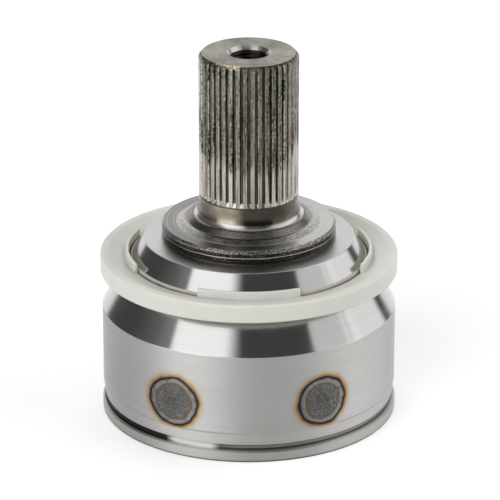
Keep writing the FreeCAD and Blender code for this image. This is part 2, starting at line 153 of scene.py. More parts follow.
class ShieldSizes(bpy.types.PropertyGroup):
    reach: size(SHIELD_REACH, "Outer radius of the plastic ring")
    low: size(51.14, "Height of the ring's lower edge")
    high: size(57.48, "Height of the ring's rim")
    seat_radius: size(43.216, "Radius at which the ring's lower edge meets the cone")
    bore: size(41.486, "Radius of the ring's inner edge")
    lip_top: size(55.303, "Height of the ring's inner edge")
    lip_low: size(54.073, "Height at which the ring leaves the cone")
    seal_radius: size(40.12, "Radius of the cone under the upper edge of the ring's thin lip")
    seal_top: size(56.3, "Height of the thin lip that lies on the cone")
    seal_wall: size(0.5, "Thickness of the thin lip")
    seal_gap: size(0.6, "Depth of the groove behind the thin lip")
    wall: size(2.0, "Thickness of the ring's walls")
    rim_round: size(0.9, "Rounding of the outer rim")
    land: size(2.0, "Width of the flat inside the rim")
    tab_height: size(3.35, "Height of a tab above the lip")
    tab_wall: size(1.0, "Thickness of a tab")
    tab_root: size(1.3, "Fillet at a tab's foot")
    tab_sweep: angle(48.0, "Angle that a tab covers")
    tab_count: count(4, "Tabs round the ring")
    columns: count(240, "Faces round the ring")


class FinishSettings(bpy.types.PropertyGroup):
    steel: colour((0.555, 0.55, 0.54), "Bare machined steel")
    dark_steel: colour((0.20, 0.195, 0.19), "Worn and oxidised steel")
    oil_stain: colour((0.060, 0.046, 0.035), "Dried oil between the teeth")
    straw: colour((0.52, 0.36, 0.19), "Straw colour at the edge of the heat marks")
    plastic: colour((0.70, 0.70, 0.655), "Ivory plastic of the ring")
    plastic_aged: colour((0.60, 0.52, 0.34), "Yellowed plastic near the cone")
    mark_height: size(19.3, "Height of the heat marks' centres")
    mark_radius: size(8.6, "Radius of the dark ring of a heat mark")
    mark_arc: size(50.7, "Radius from the axis at which a heat mark's width is measured")


class StudioSettings(bpy.types.PropertyGroup):
    elevation: angle(21.69, "Height of the camera above the horizon")
    distance: size(1242.2, "Camera to the aim point")
    aim_across: size(0.4, "Aim point to the right of the axis")
    aim_height: size(57.1, "Aim point above the floor")
    lens: size(259.05, "Focal length on a 36 mm sensor")
    floor: colour((0.80, 0.80, 0.80), "Studio floor")
    fill: power(7.0, "Power of the soft panel at the front")
    side_fill: power(3.6, "Power of the soft panel at the side")
    floor_glow: share(0.40, "White that the floor adds for the camera and in the metal")


GROUPS = (BellSizes, StubSizes, ShieldSizes, FinishSettings, StudioSettings)


class JointSettings(bpy.types.PropertyGroup):
    bell: bpy.props.PointerProperty(type=BellSizes, description="Sizes of the bell")
    stub: bpy.props.PointerProperty(type=StubSizes, description="Sizes of the collar and stub")
    shield: bpy.props.PointerProperty(type=ShieldSizes, description="Sizes of the plastic ring")
    finish: bpy.props.PointerProperty(type=FinishSettings, description="Colours and wear")
    studio: bpy.props.PointerProperty(type=StudioSettings, description="Camera and floor")


# ---------------------------------------------------------------- node trees

class Tree:
    """A node tree that is written as expressions."""

    def __init__(self, tree):
        self.tree = tree

    def node(self, kind, settings=None, inputs=None):
        """Add a node: its type, then its settings, then the values or links of its sockets."""
        node = self.tree.nodes.new(kind)
        for name, value in (settings or {}).items():
            if name == "stops":
                self.set_stops(node.color_ramp, value)
            else:
                setattr(node, name, value)
        for key, value in (inputs or {}).items():
            if isinstance(value, Wire):
                self.tree.links.new(value.socket, node.inputs[key])
            else:
                node.inputs[key].default_value = value
        return node

    @staticmethod
    def set_stops(ramp, stops):
        while len(ramp.elements) < len(stops):
            ramp.elements.new(1.0)
        for element, (position, shade) in zip(ramp.elements, stops):
            element.position = position
            element.color = (*shade, 1.0)

    def wire(self, kind, settings=None, inputs=None, output=0):
        return Wire(self, self.node(kind, settings, inputs).outputs[output])

    def math(self, operation, *values):
        return self.wire("ShaderNodeMath", {"operation": operation}, dict(enumerate(values)))

    def vector(self, x, y, z):
        return self.wire("ShaderNodeCombineXYZ", None, {0: x, 1: y, 2: z})

    def split(self, vector):
        node = self.node("ShaderNodeSeparateXYZ", None, {0: vector})
        return [Wire(self, socket) for socket in node.outputs]

    def noise(self, vector, scale, detail, roughness, distortion=0.0):
        inputs = {"Scale": scale, "Detail": detail, "Roughness": roughness, "Distortion": distortion}
        return self.wire("ShaderNodeTexNoise", None, {"Vector": vector, **inputs})


def empty_tree(owner):
    """Return the emptied shader tree of a material or world."""
    owner.use_nodes = True
    owner.node_tree.nodes.clear()
    return Tree(owner.node_tree)


def opaque(shade):
    return shade if isinstance(shade, Wire) else (*shade, 1.0)


def distance(across, up):
    return across.tree.math("SQRT", across * across + up * up)


class Wire:
    """One output socket; arithmetic on it adds Math nodes."""

    def __init__(self, tree, socket):
        self.tree = tree
        self.socket = socket

    def __add__(self, other):
        return self.tree.math("ADD", self, other)

    def __radd__(self, other):
        return self.tree.math("ADD", other, self)

    def __sub__(self, other):
        return self.tree.math("SUBTRACT", self, other)

    def __rsub__(self, other):
        return self.tree.math("SUBTRACT", other, self)

    def __mul__(self, other):
        return self.tree.math("MULTIPLY", self, other)

    def __rmul__(self, other):
        return self.tree.math("MULTIPLY", other, self)

    def __truediv__(self, other):
        return self.tree.math("DIVIDE", self, other)

    def __rtruediv__(self, other):
        return self.tree.math("DIVIDE", other, self)

    def __mod__(self, other):
        return self.tree.math("FLOORED_MODULO", self, other)

    def __neg__(self):
        return self.tree.math("MULTIPLY", self, -1.0)

    def __abs__(self):
        return self.tree.math("ABSOLUTE", self)

    def __or__(self, other):
        return self.tree.math("MAXIMUM", self, other)

    def __and__(self, other):
        return self.tree.math("MINIMUM", self, other)

    def ramp(self, low, high, start=0.0, end=1.0, kind="SMOOTHSTEP"):
        """Go from start at low to end at high, and stay there."""
        settings = {"interpolation_type": kind, "clamp": True}
        return self.tree.wire("ShaderNodeMapRange", settings, {0: self, 1: low, 2: high, 3: start, 4: end})

    def fall(self, low, high, kind="SMOOTHSTEP"):
        """Go from 1 at low to 0 at high, and stay there."""
        return self.ramp(low, high, 1.0, 0.0, kind)

    def band(self, low, high, soft):
        """1 between low and high, with soft edges."""
        return self.ramp(low - soft, low + soft) * self.fall(high - soft, high + soft)

    def mix(self, under, over):
        """Lay one colour over another, as far as this value says."""
        settings = {"data_type": "RGBA", "blend_type": "MIX", "clamp_factor": True}
        return self.tree.wire("ShaderNodeMix", settings, {0: self, 6: opaque(under), 7: opaque(over)}, 2)

    def shades(self, stops):
        """Read a colour from a row of (position, colour) stops."""
        return self.tree.wire("ShaderNodeValToRGB", {"stops": stops}, {0: self})


def geometry_tree(name, inputs):
    """Start a geometry tree; return it, its named inputs' wires and their identifiers."""
    group = bpy.data.node_groups.new(name, "GeometryNodeTree")
    group.interface.new_socket(name="Geometry", in_out="INPUT", socket_type="NodeSocketGeometry")
    identifiers = {}
    for label, kind, default in inputs:
        socket = group.interface.new_socket(name=label, in_out="INPUT", socket_type=f"NodeSocket{kind}")
        if default is not None:
            socket.default_value = default
        identifiers[label] = socket.identifier
    group.interface.new_socket(name="Geometry", in_out="OUTPUT", socket_type="NodeSocketGeometry")
    tree = Tree(group)
    entry = tree.node("NodeGroupInput")
    wires = {socket.name: Wire(tree, socket) for socket in entry.outputs if socket.name}
    return tree, wires, identifiers


def finish_tree(tree, shape, finish):
    """End a geometry tree with Realize Instances and Set Material."""
    real = tree.wire("GeometryNodeRealizeInstances", None, {"Geometry": shape})
    painted = tree.wire("GeometryNodeSetMaterial", None, {"Geometry": real, "Material": finish})
    tree.node("NodeGroupOutput", None, {0: painted})


def turned_tree():
    """Turn a profile, given as points in order, about the Z axis into one closed skin."""
    inputs = [("Columns", "Int", 96), ("Finish", "Material", None)]
    tree, given, identifiers = geometry_tree("turned_skin", inputs)
    rows = tree.wire("GeometryNodeAttributeDomainSize", {"component": "MESH"}, {0: given["Geometry"]})
    grid = tree.wire("GeometryNodeMeshGrid", None, {"Vertices X": given["Columns"] + 1, "Vertices Y": rows})
    index = tree.wire("GeometryNodeInputIndex")
    column = tree.math("FLOOR", index / rows)
    place = tree.wire("GeometryNodeInputPosition")
    spot = tree.wire(
        "GeometryNodeSampleIndex", {"data_type": "FLOAT_VECTOR", "domain": "POINT"},
        {"Geometry": given["Geometry"], "Value": place, "Index": index % rows},
    )
    across, _, up = tree.split(spot)
    turned = column * (2 * math.pi) / given["Columns"]
    on_skin = tree.vector(across * tree.math("COSINE", turned), across * tree.math("SINE", turned), up)
    skin = tree.wire("GeometryNodeSetPosition", None, {"Geometry": grid, "Position": on_skin})
    closed = tree.wire("GeometryNodeMergeByDistance", None, {"Geometry": skin, "Distance": JOIN})
    finish_tree(tree, closed, given["Finish"])
    return tree.tree, identifiers


def ring_tree():
    """Set copies of one shape round the Z axis."""
    inputs = [("Copies", "Int", 4), ("Finish", "Material", None)]
    tree, given, identifiers = geometry_tree("ring_of_copies", inputs)
    points = tree.wire("GeometryNodePoints", None, {"Count": given["Copies"]})
    index = tree.wire("GeometryNodeInputIndex")
    turn = index * (2 * math.pi) / given["Copies"]
    copies = tree.wire(
        "GeometryNodeInstanceOnPoints", None,
        {"Points": points, "Instance": given["Geometry"], "Rotation": tree.vector(0.0, 0.0, turn)},
    )
    finish_tree(tree, copies, given["Finish"])
    return tree.tree, identifiers


def thread_tree():
    """Wind a thread's ridge round the Z axis, with its root outwards."""
    inputs = [
        ("Root radius", "Float", 0.007), ("Depth", "Float", 0.0008), ("Pitch", "Float", 0.0015),
        ("Turns", "Float", 20.0), ("Low end", "Float", 0.0), ("Finish", "Material", None),
    ]
    tree, given, identifiers = geometry_tree("thread_turns", inputs)
    helix = tree.wire(
        "GeometryNodeCurveSpiral", None,
        {"Resolution": 48, "Rotations": given["Turns"], "Start Radius": given["Root radius"],
         "End Radius": given["Root radius"], "Height": given["Turns"] * given["Pitch"], "Reverse": False},
    )
    upright = tree.wire("GeometryNodeSetCurveNormal", {"mode": "Z_UP"}, {"Curve": helix})
    section = tree.wire(
        "GeometryNodeCurvePrimitiveQuadrilateral", {"mode": "TRAPEZOID"},
        {"Height": given["Depth"] * 2.0, "Bottom Width": given["Pitch"] * 1.5,
         "Top Width": given["Pitch"] * 0.16, "Offset": 0.0},
    )
    quarter = (0.0, 0.0, -math.pi / 2)
    turned = tree.wire("GeometryNodeTransform", None, {"Geometry": section, "Rotation": quarter})
    ridge = tree.wire(
        "GeometryNodeCurveToMesh", None, {"Curve": upright, "Profile Curve": turned, "Fill Caps": True}
    )
    start = tree.vector(0.0, 0.0, given["Low end"])
    raised = tree.wire("GeometryNodeTransform", None, {"Geometry": ridge, "Translation": start})
    finish_tree(tree, raised, given["Finish"])
    return tree.tree, identifiers


# ---------------------------------------------------------------- meshes

def new_object(name, data):
    made = bpy.data.objects.new(name, data)
    bpy.context.scene.collection.objects.link(made)
    return made


def plain_mesh(name, piece):
    """Return the mesh that a piece's modifiers make."""
    ready = piece.evaluated_get(bpy.context.evaluated_depsgraph_get())
    mesh = bpy.data.meshes.new_from_object(ready)
    mesh.name = name
    return mesh


def mesh_from(name, shape):
    """Write a bmesh to a new mesh and free it."""
    mesh = bpy.data.meshes.new(name)
    shape.to_mesh(mesh)
    shape.free()
    return mesh


def run_tree(name, start, tree_and_identifiers, values):
    """Put a start mesh through a geometry tree and keep the result as a plain mesh."""
    tree, identifiers = tree_and_identifiers
    carrier = new_object(f"{name}_start", start)
    modifier = carrier.modifiers.new("shape", "NODES")
    modifier.node_group = tree
    for label, value in values.items():
        modifier[identifiers[label]] = value
    mesh = plain_mesh(name, carrier)
    bpy.data.objects.remove(carrier)
    if not mesh.polygons:
        raise RuntimeError(f"{name}: the tree made no faces")
    return mesh


def tidy_mesh(mesh, join=JOIN, sharp=32.0):
    """Merge doubles, turn all faces outwards and keep the crisp edges crisp."""
    shape = bmesh.new()
    shape.from_mesh(mesh)
    bmesh.ops.remove_doubles(shape, verts=shape.verts, dist=join)
    bmesh.ops.dissolve_degenerate(shape, edges=shape.edges, dist=1e-7)
    bmesh.ops.recalc_face_normals(shape, faces=shape.faces)
    for face in shape.faces:
        face.smooth = True
    shape.to_mesh(mesh)
    shape.free()
    mesh.set_sharp_from_angle(angle=math.radians(sharp))
    return mesh


def weighted_piece(name, mesh):
    """Make a piece whose wide faces keep their own shading beside narrow roundings."""
    piece = new_object(name, mesh)
    weighted = piece.modifiers.new("shading", "WEIGHTED_NORMAL")
    weighted.keep_sharp = True
    weighted.weight = 100
    weighted_mesh = plain_mesh(name, piece)
    piece.modifiers.clear()
    piece.data = weighted_mesh
    bpy.data.meshes.remove(mesh)
    return piece


def rounded(corners, steps=3):
    """Return a profile's points with each (across, up, radius) corner rounded by its radius."""
    points = []
    for number, (across, up, radius) in enumerate(corners):
        here = Vector((across, up))
        if not radius or number in (0, len(corners) - 1):
            points.append(here)
            continue
        before = Vector(corners[number - 1][:2]) - here
        after = Vector(corners[number + 1][:2]) - here
        opening = before.angle(after)
        reach = min(radius / math.tan(opening / 2), before.length / 2, after.length / 2)
        start = here + before.normalized() * reach
        end = here + after.normalized() * reach
        for step in range(steps + 1):
            along = step / steps
            points.append(start.lerp(here, along).lerp(here.lerp(end, along), along))
    return points


def turned_mesh(name, points, columns, finish):
    """Turn a profile of (across, up) points, given in millimetres, about the Z axis."""
    start = bpy.data.meshes.new(f"{name}_profile")
    start.from_pydata([(point[0] * MM, 0.0, point[1] * MM) for point in points], [], [])
    return run_tree(name, start, turned_tree(), {"Columns": columns, "Finish": finish})


def swept_bar(name, sections):
    """Skin a row of equal rings of points, given in millimetres, into a bar."""
    shape = bmesh.new()
    rings = [[shape.verts.new(Vector(point) * MM) for point in ring] for ring in sections]
    for first, second in zip(rings, rings[1:]):
        for number in range(len(first)):
            after = (number + 1) % len(first)
            shape.faces.new((first[number], first[after], second[after], second[number]))
    shape.faces.new(rings[0])
    shape.faces.new(rings[-1])
    bmesh.ops.recalc_face_normals(shape, faces=shape.faces)
    return mesh_from(name, shape)


def ring_piece(name, sections, copies, finish):
    """Make a piece of equal bars round the Z axis, with smooth faces and crisp edges."""
    bar = swept_bar(f"{name}_bar", sections)
    mesh = run_tree(name, bar, ring_tree(), {"Copies": copies, "Finish": finish})
    for face in mesh.polygons:
        face.use_smooth = True
    mesh.set_sharp_from_angle(angle=math.radians(50.0))
    return weighted_piece(name, mesh)


# ---------------------------------------------------------------- finishes

class Place:
    """Where a point of a surface lies: millimetres from the joint's axis and mouth."""

    SLANT = 1.31  # how much the tool marks' height follows the radius, so that flat faces are turned as well

    def __init__(self, tree):
        spot = tree.wire("ShaderNodeTexCoord", None, None, "Object")
        self.tree = tree
        self.spot = tree.wire("ShaderNodeVectorMath", {"operation": "SCALE"}, {0: spot, "Scale": 1 / MM})
        self.x, self.y, self.z = tree.split(self.spot)
        self.radius = distance(self.x, self.y)
        self.turn = tree.math("ARCTAN2", self.y, self.x)
        self.cos = self.x / (self.radius | 0.01)
        self.sin = self.y / (self.radius | 0.01)

    def lines(self, pitch, length, detail=2.0, roughness=0.6):
        """Tool marks that run round the axis: pitch apart across, length long."""
        along = self.z - self.radius * self.SLANT
        spot = self.tree.vector(self.x / length, self.y / length, along / pitch)
        return self.tree.noise(spot, 1.0, detail, roughness)

    def streaks(self, width, length, radius, detail=3.0, roughness=0.6):
        """Marks that run along the axis on a shaft of that radius: width wide, length long."""
        spot = self.tree.vector(self.cos * (radius / width), self.sin * (radius / width), self.z / length)
        return self.tree.noise(spot, 1.0, detail, roughness)

    def speckle(self, grain, detail=3.0, roughness=0.6):
        return self.tree.noise(self.spot, 1.0 / grain, detail, roughness)

    def near(self, low, high, soft=0.1):
        """1 between two heights."""
        return self.z.band(low, high, soft)

    def within(self, reach, soft=0.1):
        """1 inside a radius."""
        return self.radius.fall(reach - soft, reach + soft)

    def beyond(self, reach, soft=0.1):
        """1 outside a radius."""
        return self.radius.ramp(reach - soft, reach + soft)


class Finish:
    """A material that is built up in layers and then closed with one shader."""

    def __init__(self, name, roughness, metallic=1.0):
        self.material = bpy.data.materials.new(name)
        self.tree = empty_tree(self.material)
        self.place = Place(self.tree)
        self.base = None
        self.roughness = roughness
        self.metallic = metallic
        self.height = 0.0

    def lay(self, mask, shade=None, roughness=None, metallic=None):
        """Lay a colour, a roughness or a metal share over what is there, where mask is 1."""
        if shade is not None:
            self.base = mask.mix(self.base, shade)
        if roughness is not None:
            self.roughness = self.roughness + (roughness - self.roughness) * mask
        if metallic is not None:
            self.metallic = self.metallic + (metallic - self.metallic) * mask

    def raise_by(self, height):
        self.height = self.height + height

    def close(self, bump, depth, fixed=None):
        """Join the layers to the shader; fixed holds its values that are the same all over."""
        inputs = {
            "Base Color": self.base,
            "Roughness": self.roughness,
            "Metallic": self.metallic,
            "Normal": self.tree.wire(
                "ShaderNodeBump", None, {"Strength": bump, "Distance": depth * MM, "Height": self.height}
            ),
            **(fixed or {}),
        }
        shader = self.tree.wire("ShaderNodeBsdfPrincipled", None, inputs)
        self.tree.node("ShaderNodeOutputMaterial", None, {"Surface": shader})
        return self.material


TURNED = {"Anisotropic": 0.3, "Anisotropic Rotation": 0.25}


def scaled(shade, by):
    return [part * by for part in shade]


def luck_of(tree, number, count):
    """Four random values that are the same all over the numbered tooth or track."""
    seed = number % float(count) + 0.5
    node = tree.node("ShaderNodeTexWhiteNoise", {"noise_dimensions": "1D"}, {"W": seed})
    return Wire(tree, node.outputs["Value"]), *tree.split(Wire(tree, node.outputs["Color"]))


def heat_mark_reach(finish, sizes):
    """Distance from the nearest mark's centre, as a share of its dark ring's radius, and the mark's luck."""
    tree, place = finish.tree, finish.place
    sector = 2 * math.pi / TRACKS
    number = tree.math("ROUND", place.turn / sector)
    luck, shift_up, shift_across, stretch = luck_of(tree, number, TRACKS)
    across = (place.turn - number * sector) * sizes.mark_arc + (shift_across - 0.5) * 1.0
    up = place.z - sizes.mark_height - (shift_up - 0.5) * 1.4
    wide = 1.04 + (stretch - 0.5) * 0.12
    ragged = (place.speckle(6.0, 1.0) - 0.5) * 1.7 + (place.speckle(1.2, 2.0) - 0.5) * 0.15
    return (distance(across / wide, up) + ragged) / sizes.mark_radius, luck


def add_heat_marks(finish, settings, on_bell, grain):
    """Temper colours over each track: straw outside, then black, blue, orange and a dull pitted middle with
    painted glints.
    """
    place, land = finish.place, settings.bell.land_high
    # The two tracks that lie on the bend axis have no mark
    on_bell = on_bell * abs(place.sin).ramp(0.30, 0.40)
    reach, luck = heat_mark_reach(finish, settings.finish)
    patch = place.speckle(3.4, 2.0, 0.6)
    wobble = reach + (patch - 0.5) * reach.ramp(0.75, 0.95, 0.14, 0.03)
    tint = (wobble / 1.5).shades([
        (0.0, (0.095, 0.090, 0.088)), (0.42, (0.100, 0.090, 0.090)), (0.485, (0.110, 0.062, 0.058)),
        (0.510, (0.240, 0.115, 0.048)), (0.535, (0.250, 0.240, 0.205)), (0.580, (0.215, 0.245, 0.255)),
        (0.612, (0.110, 0.140, 0.185)), (0.640, (0.024, 0.022, 0.032)), (0.660, (0.024, 0.016, 0.013)),
        (0.692, (0.200, 0.100, 0.042)), (0.735, (0.440, 0.310, 0.175)), (0.81, (0.500, 0.455, 0.370)),
        (1.0, (0.540, 0.530, 0.505)),
    ])
    halo = reach.band(0.83, 0.93, 0.04) * on_bell
    glint = patch.shades([
        (0.36, (0.110, 0.125, 0.150)), (0.46, (0.200, 0.195, 0.200)), (0.53, (0.270, 0.330, 0.320)),
        (0.60, (0.150, 0.240, 0.210)), (0.68, (0.400, 0.390, 0.350)),
    ])
    tint = (halo * 0.72).mix(tint, glint)
    core = wobble.fall(0.69, 0.76) * on_bell
    sheen = (place.speckle(3.2, 3.0, 0.62) + (luck - 0.5) * 0.10).shades([
        (0.34, (0.0916, 0.0960, 0.1180)), (0.42, (0.1488, 0.1136, 0.1180)), (0.48, (0.1356, 0.1338, 0.1312)),
        (0.55, (0.0960, 0.1268, 0.1092)), (0.62, (0.1620, 0.1550, 0.1488)), (0.70, (0.1268, 0.0916, 0.0872)),
    ])
    tint = (core * 0.85).mix(tint, sheen)
    tint = (core * reach.ramp(0.05, 0.60, 0.55, 0.0)).mix(tint, (0.050, 0.048, 0.052))
    # Bright specks in the middle: raised pits that are also painted glints, more on some marks than others
    pits_and_glints = place.speckle(0.42, 2.0, 0.7).ramp(0.50, 0.62)
    pits_and_glints = pits_and_glints * place.speckle(2.6, 3.0).ramp(0.34, 0.60, 0.35, 1.0)
    tint = (core * pits_and_glints * (0.14 + 0.34 * luck)).mix(tint, (0.50, 0.475, 0.44))
    dimples = place.speckle(0.6, 3.0, 0.7).ramp(0.56, 0.40)
    tint = (core * dimples * 0.45).mix(tint, (0.040, 0.038, 0.037))
    finish.lay(reach.fall(1.10, 1.44) * on_bell * place.z.ramp(land - 0.8, land + 0.7), tint)
    finish.lay(core, roughness=0.50 + (grain - 0.5) * 0.3, metallic=0.85)
    finish.raise_by((pits_and_glints - dimples) * core * 1.6)


def add_spline_stain(finish, stub):
    """Dull phosphate on the stub with brown patches, darker at the bottom of the tooth spaces, worn clean
    near the shank and on the teeth's corners.
    """
    place = finish.place
    low, tip, root = stub.spline_low, stub.shank_radius, stub.shank_radius - stub.tooth_depth
    pitch = 2 * math.pi / stub.teeth
    tooth = place.turn / pitch
    number = finish.tree.math("ROUND", tooth)
    beside = tooth - number
    _, chance, lean, _ = luck_of(finish.tree, number, stub.teeth)
    crest = 0.5 * (1.0 - stub.space_tip / (tip * pitch))
    zone = place.z.ramp(low - 0.2, low + 0.2) * place.beyond(root - 0.8, 0.5)
    streak = place.streaks(1.1, 14.0, tip, 4.0, 0.65)
    fleck = place.streaks(0.45, 1.0, tip, 4.0, 0.75)
    wash = place.streaks(7.0, 16.0, tip, 2.0, 0.5)
    hair = place.streaks(0.30, 9.0, tip, 3.0, 0.7)

    # Dull upper part: olive and brown on the teeth, each tooth its own
    ragged = place.z - chance * 7.0 - (streak - 0.5) * 18.0 - abs(place.cos) * 7.0
    worn = ragged.fall(low + 4.3, low + 9.3)
    tone = (streak + (chance - 0.5) * 0.34 + (hair - 0.5) * 1.1).ramp(0.30, 0.78)
    dull = tone.mix((0.036, 0.032, 0.026), (0.262, 0.246, 0.190))
    dull = (wash.ramp(0.52, 0.66) * 0.65).mix(dull, (0.150, 0.108, 0.076))
    dull = (wash.ramp(0.46, 0.34) * 0.55).mix(dull, (0.150, 0.158, 0.110))
    dull = (fleck.ramp(0.55, 0.61) * 0.80).mix(dull, (0.52, 0.50, 0.46))
    dull = (fleck.ramp(0.45, 0.36) * 0.8).mix(dull, (0.018, 0.016, 0.014))
    clean = streak.ramp(0.35, 0.62).mix((0.26, 0.230, 0.190), (0.55, 0.525, 0.465))
    clean = (fleck.ramp(0.45, 0.36) * 0.5).mix(clean, (0.07, 0.06, 0.05))
    sheen = 0.42 + (fleck - 0.5) * 0.5 - worn * 0.08
    finish.lay(zone, worn.mix(dull, clean), sheen, 1.0 - 0.2 * (1.0 - worn))

    # Bright corner lines, mostly on one flank
    side = (beside * (lean - 0.25)).ramp(-0.01, 0.01)
    corner = abs(beside).band(crest - 0.04, crest + 0.06, 0.015) * place.beyond(tip - 0.45, 0.15) * zone
    shine = (streak + fleck + worn * 0.15).ramp(0.88, 1.08) * (0.35 + 0.65 * side)
    finish.lay(corner * shine * 0.9, (0.66, 0.64, 0.60), 0.28)

    # Darker at the bottom of the spaces
    fading = place.z.ramp(low + 0.8, low + 1.6)
    space_floor_dark = place.within(root + 0.3, 0.16) * fading * zone * (0.96 - worn * 0.15)
    space_floor_tone = (wash + (hair - 0.5) * 0.8).ramp(0.36, 0.66).mix((0.014, 0.012, 0.010), (0.150, 0.128, 0.098))
    finish.lay(space_floor_dark, worn.mix(space_floor_tone, (0.022, 0.018, 0.015)), 0.5, 0.7)

    # Bright run-outs and a dark edge below them
    runout = place.near(low + 0.15, low + stub.runout, 0.15) * place.within(tip - 0.12, 0.03)
    finish.lay(runout * place.beyond(root - 0.8, 0.3) * (0.45 + 0.5 * chance), (0.66, 0.65, 0.62), 0.22, 1.0)
    edge = place.near(low - 0.5, low + 0.12, 0.12) * place.beyond(tip - 0.25, 0.1)
    finish.lay(edge * 0.85, (0.075, 0.062, 0.050), 0.42)
    finish.raise_by((fleck - 0.5) * zone * 3.0 + (streak - 0.5) * zone * 1.0)


def add_collar_wear_and_shade(finish, bell, stub, grain, blotch):
    """Scored collar, dull bearing seat with painted shade on its left, bright grit on the slope with painted
    shade at its front, painted shade in the neck under the collar beside a rust-brown tint that is partly a
    painted warm reflection, and dark step.
    """
    place = finish.place
    under, seat_height = stub.neck_high, stub.collar_height
    collar, neck = stub.collar_radius, stub.neck_radius
    side = place.near(under, seat_height - 0.55) * place.beyond(collar - 0.33, 0.15)
    score = place.lines(0.42, 6.0, 3.0, 0.7)
    scuff = place.speckle(1.1, 4.0, 0.7).ramp(0.54, 0.64)
    finish.lay(side, score.ramp(0.48, 0.64).mix((0.016, 0.014, 0.013), (0.100, 0.094, 0.086)), 0.28)
    finish.lay(side * scuff * 0.25, (0.32, 0.31, 0.29))
    finish.lay(place.near(under + 1.6, under + 1.85, 0.06) * side * 0.9, (0.56, 0.54, 0.50), 0.2)
    finish.lay(place.near(under, under + 0.6, 0.15) * side * 0.8, (0.012, 0.010, 0.009), 0.5, 0.6)
    finish.raise_by((score - 0.5) * side * 1.6)
    # Painted shade in the groove under the collar
    neck_shade = place.near(bell.cone_top + 0.05, under, 0.08) * place.within(neck + 0.4, 0.15)
    finish.lay(neck_shade, (0.022, 0.019, 0.017), 0.6, 0.6)
    # Rust-brown tint on the shelf beside the neck: partly rust, partly a painted warm reflection under the
    # collar
    rust_and_warm_reflection = place.near(bell.cone_top - 0.2, bell.cone_top + 0.2) * place.radius.band(neck, neck + 1.0, 0.3)
    finish.lay(rust_and_warm_reflection * blotch.ramp(0.42, 0.58) * 0.7, (0.36, 0.26, 0.13), 0.5)

    seat = place.near(seat_height - 0.15, seat_height + 0.12, 0.06) * place.beyond(stub.seat_radius)
    shadowed = (place.cos + (blotch - 0.5) * 0.8).ramp(-0.15, 0.55, 0.75, 0.10)
    finish.lay(seat * shadowed, (0.115, 0.108, 0.100), 0.30)
    arcs = place.lines(1.1, 30.0, 2.0, 0.5).ramp(0.48, 0.58) * grain.ramp(0.36, 0.52)
    finish.lay(seat * arcs * 0.30, (0.50, 0.49, 0.465), 0.24)
    finish.raise_by((grain - 0.5) * seat * 0.5)

    relief = stub.relief_height
    slope = place.near(seat_height + 0.1, relief + 0.12) * place.within(stub.seat_radius + 0.1)
    grit = grain.ramp(0.44, 0.60)
    finish.lay(slope, grit.mix((0.22, 0.21, 0.195), (0.66, 0.645, 0.61)), 0.24)
    # Painted shade on the front of the slope, broken up by blotches
    oiled = place.turn.band(-2.36, -0.98, 0.14) * blotch.ramp(0.30, 0.56, 0.95, 0.62)
    finish.lay(slope * oiled, grit.mix((0.026, 0.023, 0.020), (0.150, 0.138, 0.124)), 0.26)
    finish.raise_by((grain - 0.5) * slope * 1.2)
    step = place.near(relief - 0.1, stub.step_height + 0.1) * place.within(stub.relief_inner + 0.5)
    finish.lay(step * 0.85, grain.ramp(0.50, 0.60).mix((0.060, 0.053, 0.045), (0.300, 0.280, 0.250)), 0.34)
    line = place.radius.band(stub.relief_inner - 0.15, stub.relief_inner + 0.25, 0.08)
    finish.lay(line * place.near(relief - 0.1, relief + 0.15) * 0.5, (0.50, 0.44, 0.39), 0.25)
    edge = place.near(seat_height - 1.25, seat_height - 0.04, 0.1) * place.beyond(collar - 1.03, 0.2)
    chips = place.speckle(0.5, 3.0, 0.7).ramp(0.47, 0.58)
    finish.lay(edge * 0.95, chips.mix((0.075, 0.070, 0.064), (0.520, 0.500, 0.470)), 0.36)
    finish.raise_by((chips - 0.5) * edge * 2.4)


def add_mouth_tones_and_painted_light(finish, bell, on_bell, outside, blotch):
    """Painted shade in the boot's groove and its lower corner, darkest on the left, broken by a painted
    reflection at the front-left; a painted contact shadow at the mouth's lowest edge; and dull edges round
    the mouth.
    """
    place, groove_low = finish.place, bell.groove_low
    groove = place.near(groove_low - 0.4, bell.land_low - 0.1) * place.within(bell.bell_radius - 0.39, 0.2)
    groove = groove * outside
    # Painted shade: the groove darker on the left, broken up by blotches
    painted_shade = (place.cos + (blotch - 0.5) * 0.3).ramp(-0.50, 0.05, 0.97, 0.0)
    # Painted reflection: a bright band across the groove at the front-left
    painted_reflection = place.turn.band(-2.14, -1.80, 0.04)
    corner = place.near(groove_low - 0.05, groove_low + 0.35, 0.12) * groove
    # Painted shade over the whole groove, darker on the left and in its lower corner, lifted where the
    # painted reflection lies
    finish.lay(groove * 0.75, (0.150, 0.142, 0.132), 0.4)
    finish.lay(groove * painted_shade * (1.0 - 0.85 * painted_reflection), (0.016, 0.014, 0.012), 0.5, 0.8)
    finish.lay(corner * (0.9 - 0.6 * painted_reflection), (0.020, 0.018, 0.016), 0.5, 0.8)
    finish.lay(groove * painted_reflection * 0.8, (0.70, 0.69, 0.66), 0.24)
    foot = place.near(bell.land_high + 0.15, bell.land_high + 0.95)
    finish.lay(foot * on_bell * 0.4, (0.24, 0.23, 0.22), 0.3)
    # Painted contact shadow along the mouth's lowest edge
    finish.lay(place.near(-0.1, 0.75, 0.12) * on_bell * 0.8, (0.085, 0.078, 0.070), 0.5)
    finish.lay(place.near(0.9, bell.flange_height, 0.2) * on_bell * 0.75, (0.43, 0.415, 0.395), 0.42)


